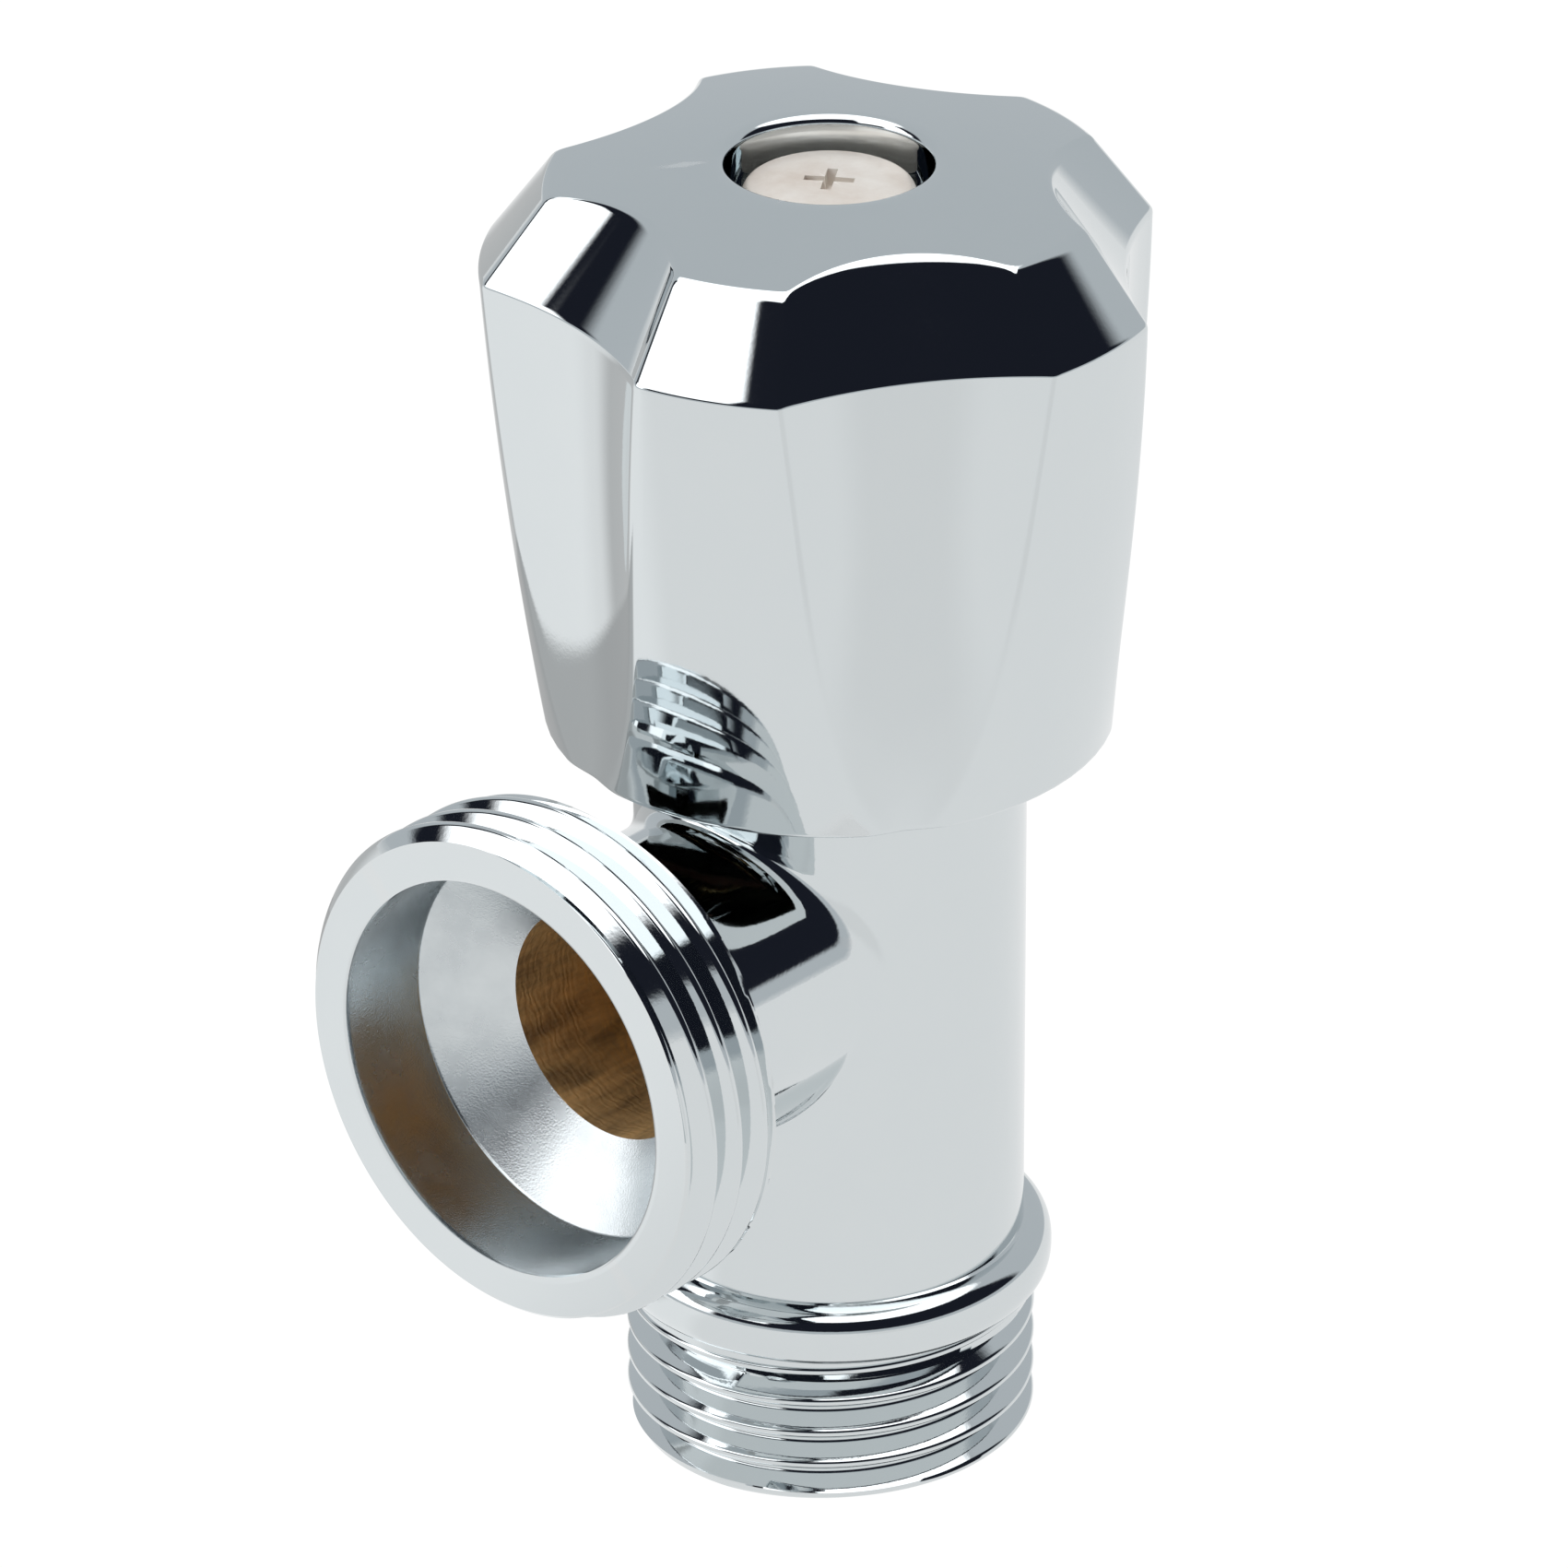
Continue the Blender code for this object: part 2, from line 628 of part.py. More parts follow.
def main():
    clear_scene()
    make_valve_body()
    make_head_body()
    make_static_seals()
    plunger_pieces = [make_plunger(), o_ring("plunger_o_ring", PLUNGER_O_RING, middle(PLUNGER_GROOVE))]
    plunger_pieces += make_seat_washer_set()
    make_axis("plunger_axis", SEAT_TOP, plunger_pieces)
    handle = make_handle()
    handle.rotation_euler.z = HANDLE_TURN
    insert = make_spline_insert()
    insert.rotation_euler.z = HANDLE_TURN
    spindle = make_spindle()
    spindle.rotation_euler.z = HANDLE_TURN
    screw = make_handle_screw()
    split = TURN - LOCK_WASHER_SPLIT
    lock_washer = washer("screw_lock_washer", SCREW_HOLE_R, LOCK_WASHER_R, LOCK_WASHER, "steel", sweep=split)
    handle_pieces = [handle, insert, spindle, screw, lock_washer] + make_spindle_fittings()
    make_axis("handle_axis", HANDLE_BOTTOM, handle_pieces)


main()
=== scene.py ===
import math
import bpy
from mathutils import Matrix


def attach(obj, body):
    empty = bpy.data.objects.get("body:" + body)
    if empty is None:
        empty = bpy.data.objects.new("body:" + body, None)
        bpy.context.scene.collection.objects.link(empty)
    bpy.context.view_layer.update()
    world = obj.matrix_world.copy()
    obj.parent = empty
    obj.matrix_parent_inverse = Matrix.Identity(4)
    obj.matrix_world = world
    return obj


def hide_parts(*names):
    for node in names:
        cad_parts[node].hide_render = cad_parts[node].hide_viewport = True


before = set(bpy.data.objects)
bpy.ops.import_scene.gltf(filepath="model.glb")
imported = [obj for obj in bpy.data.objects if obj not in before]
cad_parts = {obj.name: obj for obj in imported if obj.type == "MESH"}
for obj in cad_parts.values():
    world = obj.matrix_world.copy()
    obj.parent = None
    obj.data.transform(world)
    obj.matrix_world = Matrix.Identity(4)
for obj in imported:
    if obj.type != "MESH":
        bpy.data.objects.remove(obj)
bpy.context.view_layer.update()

from types import SimpleNamespace

import bmesh
import bpy
import numpy as np
from mathutils import Matrix

# Angle stop valve, dressed for a close look: every part below is a surface worked out in
# millimetres about the spindle axis and written to its mesh in metres.

mm = 0.001
turn = 2 * math.pi
roundColumns = 240  # ring divisions on the big pieces
smallColumns = 96   # and on the small ones
whole = np.arange(roundColumns) * turn / roundColumns
fine = np.arange(smallColumns) * turn / smallColumns
weldDistance = 0.0015   # points closer than this become one
creaseAngle = 33        # and edges sharper than this, in degrees, stay sharp
easingShare = 0.36      # the most of a neighbouring row's distance that an easing takes
holdReach = 1.3         # where the holding rows stand, in easings


# surfaces

def ring(radius, height, angles):
    # a ring about the spindle axis: (r sin a, -r cos a, z), so angle 0 faces the outlet
    x = radius * np.sin(angles)
    return np.stack([x, -radius * np.cos(angles), height + 0 * x], -1)


def easeCorners(rows, easing, steps=4, closed=True):
    # each row P with an easing e becomes the curve (1-t)^2 A + 2t(1-t) P + t^2 B between points e
    # before and after it, with a holding row outside each end so that flats reflect as flats
    out = []
    for i, here in enumerate(rows):
        atEnd = not closed and i in (0, len(rows) - 1)
        if easing[i] == 0 or atEnd:
            out.append(here)
            continue
        back, ahead = rows[i - 1] - here, rows[(i + 1) % len(rows)] - here
        backLength = np.maximum(np.linalg.norm(back, axis=-1, keepdims=True), 1e-6)
        aheadLength = np.maximum(np.linalg.norm(ahead, axis=-1, keepdims=True), 1e-6)
        backStep = np.minimum(easing[i], easingShare * backLength)
        aheadStep = np.minimum(easing[i], easingShare * aheadLength)
        back, ahead = back / backLength, ahead / aheadLength
        start, end = here + back * backStep, here + ahead * aheadStep
        out.append(here + back * backStep * holdReach)
        for t in np.linspace(0, 1, steps + 1):
            out.append((1 - t) ** 2 * start + 2 * t * (1 - t) * here + t * t * end)
        out.append(here + ahead * aheadStep * holdReach)
    return np.array(out)


def turnedRows(profile, angles, closed=True, shift=0.0):
    # a profile of (radius, height, easing) corners carried round the axis, all turned by a shift;
    # a radius may be a function of the angle
    rows, easing = [], []
    for corner in profile:
        radius, height = corner[0], corner[1]
        rows.append(ring(radius(angles) if callable(radius) else radius, height, angles + shift))
        easing.append(corner[2] if len(corner) > 2 else 0)
    return easeCorners(np.array(rows), easing, closed=closed)


def openRows(profile, angles=fine, shift=0.0):
    # the same with a first and a last row that don't meet
    return turnedRows(profile, angles, closed=False, shift=shift)


def hexagon(acrossFlats, corner=1.0):
    # flat distance over the cosine of the angle from the nearest flat, held in by a corner circle
    def radius(angles):
        fromFlat = (angles + turn / 12) % (turn / 6) - turn / 12
        return np.minimum(acrossFlats / 2 / np.cos(fromFlat), corner * acrossFlats / math.sqrt(3))
    return radius


pipeThread = {"flankLean": 27.5, "fullDepth": 0.6403, "rounding": 0.1373}   # degrees, and shares of the pitch


def pipeThreadOutline(crest, root, pitch, arcSteps=5):
    # one turn of a rounded vee: an arc over the crest, a straight flank, an arc in the root.
    # The flanks lean from the axis normal. Gives (share of pitch, radius).
    lean = math.radians(pipeThread["flankLean"])
    rounding = pipeThread["rounding"] * (crest - root) / pipeThread["fullDepth"]
    sweep = np.linspace(-math.pi / 2 + lean, math.pi / 2 - lean, arcSteps + 1)
    crestShare = rounding * np.sin(sweep) / pitch
    crestRadius = crest - rounding * (1 - np.cos(sweep))
    rootShare = 0.5 + crestShare
    rootRadius = root + rounding * (1 - np.cos(sweep))
    return np.concatenate([crestShare, rootShare]), np.concatenate([crestRadius, rootRadius])


def threadRows(outline, crestAt, pitch, span, columns, trim, hand=1):
    # rows follow the helix: height = crestAt + pitch (share + hand angle / turn), held between the two
    # ends of the span. The radius there is the outline's, then what trim(radius, height) leaves of it
    share, radius = outline
    low, high = span
    turns = np.arange(math.floor((low - crestAt) / pitch) - 2, math.ceil((high - crestAt) / pitch) + 3)
    along = (turns[:, None] + share[None, :]).ravel()[:, None]
    angles = np.linspace(0, turn, columns + 1)[None, :]
    height = np.clip(crestAt + pitch * (along + hand * angles / turn), low, high)
    phase = (height - crestAt) / pitch - hand * angles / turn
    radii = trim(np.interp(phase, share, radius, period=1), height)
    return np.stack([radii * np.sin(angles), -radii * np.cos(angles), height], -1)


def towardOutlet(points, axisHeight):
    # lays a surface made along +Z down along -Y, with its axis at the outlet's height
    x, y, z = points[..., 0], points[..., 1], points[..., 2]
    return np.stack([x, -z, y + axisHeight], -1)


# meshes

def sheet(grid, finish=0):
    return grid, False, False, finish


def tube(grid, finish=0):
    return grid, False, True, finish


def hoop(grid, finish=0):
    return grid, True, True, finish


def makePiece(name, surfaces, finishes, body, node):
    # surfaces are (points, rows meet, columns meet, finish number); shared edges are welded
    points, faces, picks, first = [], [], [], 0
    for grid, rowsMeet, columnsMeet, finish in surfaces:
        count = grid.shape[0] * grid.shape[1]
        index = first + np.arange(count).reshape(grid.shape[:2])
        if rowsMeet:
            index = np.vstack([index, index[:1]])
        if columnsMeet:
            index = np.hstack([index, index[:, :1]])
        quads = np.stack([index[:-1, :-1], index[:-1, 1:], index[1:, 1:], index[1:, :-1]], -1).reshape(-1, 4)
        points.append(grid.reshape(-1, 3) * mm)
        faces.append(quads)
        picks.append(np.full(len(quads), finish))
        first += count
    points, faces, picks = np.concatenate(points), np.concatenate(faces), np.concatenate(picks)
    mesh = bpy.data.meshes.new(name)
    mesh.from_pydata(points, [], faces)
    mesh.polygons.foreach_set("material_index", picks.astype(np.int32))
    work = bmesh.new()
    work.from_mesh(mesh)
    bmesh.ops.remove_doubles(work, verts=work.verts, dist=weldDistance * mm)
    bmesh.ops.dissolve_degenerate(work, edges=work.edges, dist=weldDistance * mm)
    bmesh.ops.recalc_face_normals(work, faces=work.faces)
    openEdges = sum(1 for edge in work.edges if not edge.is_manifold)
    work.to_mesh(mesh)
    work.free()
    mesh.shade_smooth()
    mesh.set_sharp_from_angle(angle=math.radians(creaseAngle))
    for finish in finishes:
        mesh.materials.append(finish)
    piece = bpy.data.objects.new(name, mesh)
    bpy.context.scene.collection.objects.link(piece)
    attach(piece, body)
    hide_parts(node)
    print(f"{name}: {len(mesh.polygons)} faces, {openEdges} open edges")
    return piece


def cutWith(piece, cutters):
    # takes the cutters' shapes out of a finished piece and throws them away
    for cutter in cutters:
        cut = piece.modifiers.new("cut", "BOOLEAN")
        cut.operation = "DIFFERENCE"
        cut.object = cutter
        cut.solver = "EXACT"
    bpy.context.view_layer.update()
    seen = piece.evaluated_get(bpy.context.evaluated_depsgraph_get())
    mesh = bpy.data.meshes.new_from_object(seen)
    piece.modifiers.clear()
    piece.data = mesh
    mesh.set_sharp_from_angle(angle=math.radians(creaseAngle))
    for cutter in cutters:
        bpy.data.objects.remove(cutter)


def taperedBar(name, length, width, top, bottom, taper, sideShare=0.35):
    # a bar cutter through the axis, narrower at its foot by the taper in length and by a share of it in width
    shape = bmesh.new()
    bmesh.ops.create_cube(shape, size=1)
    for corner in shape.verts:
        low = corner.co.z < 0
        corner.co.x *= (length - (taper if low else 0)) * mm
        corner.co.y *= (width - (taper * sideShare if low else 0)) * mm
        corner.co.z = (bottom if low else top) * mm
    mesh = bpy.data.meshes.new(name)
    shape.to_mesh(mesh)
    shape.free()
    bar = bpy.data.objects.new(name, mesh)
    bpy.context.scene.collection.objects.link(bar)
    return bar


# finishes

def addNode(tree, kind, inputs=None, **settings):
    node = tree.nodes.new(kind)
    for key, value in settings.items():
        setattr(node, key, value)
    for key, value in (inputs or {}).items():
        if isinstance(value, bpy.types.NodeSocket):
            tree.links.new(value, node.inputs[key])
        else:
            node.inputs[key].default_value = value
    return node


def maths(tree, operation, first, second=0.0):
    return addNode(tree, "ShaderNodeMath", {0: first, 1: second}, operation=operation).outputs[0]


def noise(tree, place, scale, detail, rough=0.5):
    inputs = {"Vector": place, "Scale": scale, "Detail": detail, "Roughness": rough}
    return addNode(tree, "ShaderNodeTexNoise", inputs).outputs[0]


def ramp(tree, value, low, high, **settings):
    # 0 at the low end and 1 at the high end
    inputs = {"Value": value, "From Min": low, "From Max": high}
    return addNode(tree, "ShaderNodeMapRange", inputs, **settings).outputs[0]


def newGroup(name, inputs, outputs):
    tree = bpy.data.node_groups.new(name, "ShaderNodeTree")
    for label, default in inputs.items():
        kind = "NodeSocketVector" if label == "Position" else "NodeSocketFloat"
        socket = tree.interface.new_socket(label, in_out="INPUT", socket_type=kind)
        if default is not None:
            socket.default_value = default
    for label in outputs:
        tree.interface.new_socket(label, in_out="OUTPUT", socket_type="NodeSocketFloat")
    return tree, tree.nodes.new("NodeGroupInput").outputs, tree.nodes.new("NodeGroupOutput").inputs


def makePolishGroup():
    # slow waves left by buffing, a fine grain from the casting, and a patchy haze
    inputs = {
        "Position": None, "WaveScale": 150.0, "GrainScale": 5000.0, "Wave": 1.0, "Grain": 1.0,
        "HazeScale": 420.0
    }
    tree, given, put = newGroup("polish", inputs, ["Height", "Haze"])
    wave = noise(tree, given["Position"], given["WaveScale"], 1.0)
    grain = noise(tree, given["Position"], given["GrainScale"], 3.0)
    waveHeight = maths(tree, "MULTIPLY", wave, given["Wave"])
    grainHeight = maths(tree, "MULTIPLY", grain, given["Grain"])
    tree.links.new(maths(tree, "ADD", waveHeight, grainHeight), put["Height"])
    tree.links.new(noise(tree, given["Position"], given["HazeScale"], 4.0, rough=0.6), put["Haze"])
    return tree


def makeEdgeGroup():
    # how sharply the surface turns outwards, from the mesh itself
    tree, given, put = newGroup("edgeWear", {"Start": 0.52, "Full": 0.62}, ["Mask"])
    shape = addNode(tree, "ShaderNodeNewGeometry")
    tree.links.new(ramp(tree, shape.outputs["Pointiness"], given["Start"], given["Full"]), put["Mask"])
    return tree


def makeToolMarkGroup():
    # the fine ridges that a lathe tool leaves, a little uneven
    inputs = {"Position": None, "Along": 0.0, "Pitch": 0.00018, "Uneven": 3.0, "WobbleScale": 900.0}
    tree, given, put = newGroup("toolMarks", inputs, ["Height"])
    wobble = noise(tree, given["Position"], given["WobbleScale"], 2.0)
    phase = maths(tree, "DIVIDE", given["Along"], given["Pitch"])
    drift = maths(tree, "MULTIPLY", wobble, given["Uneven"])
    ridge = maths(tree, "SINE", maths(tree, "MULTIPLY", maths(tree, "ADD", phase, drift), turn))
    tree.links.new(ridge, put["Height"])
    return tree


polish, edgeWear, toolMarks = makePolishGroup(), makeEdgeGroup(), makeToolMarkGroup()


def newFinish(name):
    finish = bpy.data.materials.new(name)
    finish.use_nodes = True
    tree = finish.node_tree
    shader = tree.nodes["Principled BSDF"]
    place = addNode(tree, "ShaderNodeTexCoord").outputs["Object"]
    return finish, tree, shader, place


def useGroup(tree, group, inputs):
    node = addNode(tree, "ShaderNodeGroup", node_tree=group)
    for key, value in inputs.items():
        if isinstance(value, bpy.types.NodeSocket):
            tree.links.new(value, node.inputs[key])
        else:
            node.inputs[key].default_value = value
    return node.outputs


def mixColour(tree, share, first, second):
    mix = addNode(tree, "ShaderNodeMix", data_type="RGBA")
    for key, value in ((0, share), (6, first), (7, second)):
        if isinstance(value, bpy.types.NodeSocket):
            tree.links.new(value, mix.inputs[key])
        else:
            mix.inputs[key].default_value = value if key == 0 else (*value, 1.0)
    return mix.outputs[2]


def spread(tree, value, low, high):
    # stretches a 0 to 1 value between two ends
    return addNode(tree, "ShaderNodeMapRange", {"Value": value, "To Min": low, "To Max": high}).outputs[0]


wornPlate = (0.72, 0.73, 0.73)
wornShare = {"plate": 0.35, "metal": 0.5, "moulded": 0.25}   # how far the edges go toward their worn colour


def chromeFinish(name, tint, deep, rough, wave, grain, grainScale=5000.0, wornRough=0.05):
    # bright plate: nearly a mirror, with buffing waves, slight haze and worn edges
    finish, tree, shader, place = newFinish(name)
    buffed = useGroup(
        tree, polish, {"Position": place, "Wave": wave, "Grain": grain, "GrainScale": grainScale}
    )
    worn = useGroup(tree, edgeWear, {})["Mask"]
    shader.inputs["Metallic"].default_value = 1.0
    colour = mixColour(tree, buffed["Haze"], tint, deep)
    edges = maths(tree, "MULTIPLY", worn, wornShare["plate"])
    tree.links.new(mixColour(tree, edges, colour, wornPlate), shader.inputs["Base Color"])
    hazed = spread(tree, buffed["Haze"], rough * 0.6, rough * 1.5)
    tree.links.new(
        maths(tree, "ADD", hazed, maths(tree, "MULTIPLY", worn, wornRough)), shader.inputs["Roughness"]
    )
    bump = addNode(tree, "ShaderNodeBump", {"Height": buffed["Height"], "Strength": 1.0, "Distance": 0.00001})
    tree.links.new(bump.outputs[0], shader.inputs["Normal"])
    return finish


def turnedFinish(
    name, light, dark, rough, along="Z", pitch=0.00018, depth=1.0, metallic=1.0, streak=1.0, patchy=0.4
):
    # bare metal from the lathe: ridges round the axis, tarnish in patches, brighter edges.
    # A streak under 1 draws the patches out along y, and a higher patchy sets them apart.
    finish, tree, shader, place = newFinish(name)
    drawn = addNode(
        tree, "ShaderNodeVectorMath", {0: place, 1: (1.0, streak, 1.0)}, operation="MULTIPLY"
    ).outputs[0]
    axes = addNode(tree, "ShaderNodeSeparateXYZ", {0: place})
    marks = useGroup(tree, toolMarks, {"Position": place, "Along": axes.outputs[along], "Pitch": pitch})
    stain = noise(tree, drawn, 260.0, 5.0, rough=0.65)
    worn = useGroup(tree, edgeWear, {})["Mask"]
    shader.inputs["Metallic"].default_value = metallic
    colour = mixColour(tree, spread(tree, stain, -patchy, 1.0 + patchy), light, dark)
    bright = tuple(min(1.0, part * 1.2) for part in light)
    brighter = mixColour(tree, maths(tree, "MULTIPLY", worn, wornShare["metal"]), colour, bright)
    tree.links.new(brighter, shader.inputs["Base Color"])
    tree.links.new(spread(tree, stain, rough * 0.7, rough * 1.35), shader.inputs["Roughness"])
    bump = addNode(
        tree, "ShaderNodeBump", {"Height": marks["Height"], "Strength": 0.6, "Distance": 0.000003 * depth}
    )
    tree.links.new(bump.outputs[0], shader.inputs["Normal"])
    return finish


def mouldedFinish(name, light, dark, rough, grain, grainScale=2500.0):
    # rubber, plastic or fibre: mottled colour and a matt skin with a fine grain
    finish, tree, shader, place = newFinish(name)
    given = {"Position": place, "WaveScale": 600.0, "Wave": 0.4, "Grain": grain, "GrainScale": grainScale}
    skin = useGroup(tree, polish, given)
    worn = useGroup(tree, edgeWear, {})["Mask"]
    colour = mixColour(tree, skin["Haze"], light, dark)
    pale = tuple(0.6 * part + 0.25 for part in light)
    scuffed = mixColour(tree, maths(tree, "MULTIPLY", worn, wornShare["moulded"]), colour, pale)
    tree.links.new(scuffed, shader.inputs["Base Color"])
    tree.links.new(spread(tree, skin["Haze"], rough * 0.85, rough * 1.15), shader.inputs["Roughness"])
    bump = addNode(tree, "ShaderNodeBump", {"Height": skin["Height"], "Strength": 0.5, "Distance": 0.00003})
    tree.links.new(bump.outputs[0], shader.inputs["Normal"])
    return finish


plateTint, plateDeep = (0.69, 0.728, 0.738), (0.675, 0.715, 0.73)
chrome = chromeFinish("body chrome", plateTint, plateDeep, 0.045, 0.5, 0.12)
handleChrome = chromeFinish("handle chrome", plateTint, plateDeep, 0.035, 0.35, 0.05, wornRough=0.35)
satinChrome = chromeFinish("satin chrome", plateTint, (0.55, 0.59, 0.61), 0.24, 0.5, 0.9, 9000.0)
boreBrass = turnedFinish(
    "bore brass", (1.0, 0.69, 0.34), (0.17, 0.11, 0.07), 0.34, "Y", 0.00045, 3.0, metallic=0.7, streak=0.25,
    patchy=1.6
)
headBrass = turnedFinish("head brass", (0.72, 0.52, 0.24), (0.55, 0.36, 0.14), 0.26)
brightBrass = turnedFinish("bright brass", (0.80, 0.60, 0.30), (0.66, 0.45, 0.20), 0.20)
screwSteel = turnedFinish(
    "screw plate", (0.84, 0.81, 0.76), (0.62, 0.54, 0.47), 0.42, pitch=0.0003, metallic=0.45
)
springSteel = turnedFinish("spring steel", (0.62, 0.62, 0.61), (0.44, 0.44, 0.44), 0.30, "X", 0.00012)
rubber = mouldedFinish("seal rubber", (0.028, 0.028, 0.030), (0.014, 0.014, 0.015), 0.55, 0.8)
acetal = mouldedFinish("acetal", (0.84, 0.84, 0.81), (0.76, 0.76, 0.73), 0.38, 0.4)
fibre = mouldedFinish("gasket fibre", (0.45, 0.17, 0.11), (0.26, 0.09, 0.06), 0.78, 2.0, 1400.0)
print("finishes made")


# valve body

body = {
    "radius": 9.91, "top": 44.0, "chamfer": 0.3, "pitch": 1.814,
    "inletCrest": 10.478, "inletRoot": 9.316, "inletCrestAt": 2.35, "inletCrestAngle": 42.0,
    "inletRim": 10.05, "inletRimSlope": 0.56, "rimHold": 0.985, "inletEnd": 8.31,
    "runOutFrom": 6.5, "runOutSlope": 1.1, "runOutRadius": 10.33,
    "inletBore": 6.3, "inletBoreFrom": 2.0, "inletBoreTop": 18.0,
    "beadRadius": 9.73, "beadHeight": 9.85, "beadThick": 1.62, "beadSquareness": 2.5,
    "beadArc": (-74, 86.5), "beadRings": 41,
    "beadFoot": ((0.16, -0.01), (0.02, 0.06), (0.0, 0.3), (0.0, 0.6)),   # past the wall, over the bead
    "seat": 4.4, "seatLip": 5.6, "seatTop": 21.7, "floor": 20.5,
    "chamber": 7.6, "chamberTop": 36.2, "headBore": 8.5,
    "windowLow": 14.0, "windowHigh": 42.0,   # the stretch of wall that the neck grows from
    "chamberWindowLow": 21.4, "chamberWindowHigh": 35.6,
}
outlet = {
    "height": 28.9, "face": 24.45, "neck": 8.2, "neckFrom": 12.5, "fillet": 1.0, "filletReach": 1.3,
    "flareFrom": 15.6, "crest": 13.221, "root": 12.059, "crestAt": 19.5, "crestAngle": 110.0, "back": 17.8,
    "threadFrom": 18.2, "threadStop": 0.12, "rimSlope": 0.95, "backStep": 0.35, "backSlope": 2.2,
    "runOutStep": 0.25, "runOutSlope": 1.6,
    "rim": 12.6, "bore": 6.1, "coneBack": 16.7, "mouth": 10.4, "coneFront": 19.2,
}


def windowEdge(low, high, halfColumns, sideRows):
    # the frame of the window in the wall, as angle and height, starting under the outlet and
    # running to the right, with as many points as the neck has columns
    step = turn / roundColumns
    foot = np.arange(-halfColumns, halfColumns) * step
    rise = low + (high - low) * np.arange(sideRows) / sideRows
    end = halfColumns * step
    angle = np.concatenate([foot, np.full(sideRows, end), -foot, np.full(sideRows, -end)])
    fall = rise[::-1] + (high - low) / sideRows
    height = np.concatenate([np.full(2 * halfColumns, low), rise, np.full(2 * halfColumns, high), fall])
    return np.roll(angle, -halfColumns), np.roll(height, -halfColumns)


def windowSurfaces(radius, low, high, hole, finish, halfColumns=50, sideRows=20, rings=12, crowding=1.5):
    # a cylinder wall with a round window: lines run straight in angle and height from the hole's
    # edge to the frame, and the rest of the wall is plain rows
    frameAngle, frameHeight = windowEdge(low, high, halfColumns, sideRows)
    x, z = hole * np.sin(whole), outlet["height"] - hole * np.cos(whole)
    holeAngle = np.arcsin(x / radius)
    share = (np.linspace(0, 1, rings + 1) ** crowding)[:, None]
    angle = holeAngle + (frameAngle - holeAngle) * share
    height = z + (frameHeight - z) * share
    window = ring(radius, height, angle)
    backAngles = whole[halfColumns: roundColumns - halfColumns + 1]
    heights = low + (high - low) * np.arange(sideRows + 1) / sideRows
    back = ring(radius, heights[:, None], backAngles[None, :] + 0 * heights[:, None])
    return [tube(window, finish), sheet(back, finish)], window[0]


plate, brass, satin = 0, 1, 2   # the body's finishes


def bodyOutside():
    b, o = SimpleNamespace(**body), SimpleNamespace(**outlet)
    outline = pipeThreadOutline(b.inletCrest, b.inletRoot, b.pitch)
    start = b.inletCrestAt - b.pitch * b.inletCrestAngle / 360

    def trimInlet(radius, height):
        lead = b.inletRim + b.inletRimSlope * height
        runOut = b.inletRoot + (height - b.runOutFrom) * b.runOutSlope
        return np.minimum(np.maximum(radius, np.minimum(runOut, b.runOutRadius)), lead)

    inlet = threadRows(outline, start, b.pitch, (0, b.inletEnd), roundColumns, trimInlet)
    rim = inlet[0, :-1]
    bore, hold = b.inletBore, b.rimHold
    endFace = openRows([(bore, b.inletBoreFrom), (bore, b.chamfer), (bore + b.chamfer, 0)], whole)
    endFace = np.concatenate([endFace, [rim * [hold, hold, 1], rim]])
    last = inlet[-1, :-1]
    # the bead's section is a squared circle: x = a cos(t)^(2/n), z = a sin(t)^(2/n)
    power = 2 / b.beadSquareness
    beadAngles = np.radians(np.linspace(*b.beadArc, b.beadRings))
    beadOut = b.beadRadius + b.beadThick * np.cos(beadAngles) ** power
    beadUp = b.beadHeight + b.beadThick * np.sign(beadAngles) * np.abs(np.sin(beadAngles)) ** power
    wall = [ring(out, up, whole) for out, up in zip(beadOut[:-1], beadUp[:-1])]
    wall += [ring(b.radius + out, beadUp[-1] + up, whole) for out, up in b.beadFoot]
    lower = np.array([last] + wall + [ring(b.radius, b.windowLow, whole)])
    windowed, holeEdge = windowSurfaces(b.radius, b.windowLow, b.windowHigh, o.neck + o.fillet, plate)
    top = openRows([
        (b.radius, b.windowHigh), (b.radius, b.top, b.chamfer), (b.headBore + b.chamfer, b.top),
        (b.headBore, b.top - b.chamfer), (b.headBore, b.chamberTop), (b.chamber, b.chamberTop),
        (b.chamber, b.chamberWindowHigh),
    ], whole)
    surfaces = [sheet(inlet, plate), tube(endFace, plate), tube(lower, plate)]
    return surfaces + windowed + [tube(top, plate)], holeEdge


def bodyInside():
    b, o = SimpleNamespace(**body), SimpleNamespace(**outlet)
    walled, holeEdge = windowSurfaces(b.chamber, b.chamberWindowLow, b.chamberWindowHigh, o.bore, brass)
    seat = openRows([
        (b.chamber, b.chamberWindowLow), (b.chamber, b.floor, 0.4), (b.seatLip, b.floor, 0.25),
        (b.seatLip, b.seatTop, 0.2), (b.seat, b.seatTop, 0.25), (b.seat, b.inletBoreTop, 0.2),
        (b.inletBore, b.inletBoreTop, 0.5), (b.inletBore, b.inletBoreFrom),
    ], whole)
    return walled + [tube(seat, brass)], holeEdge


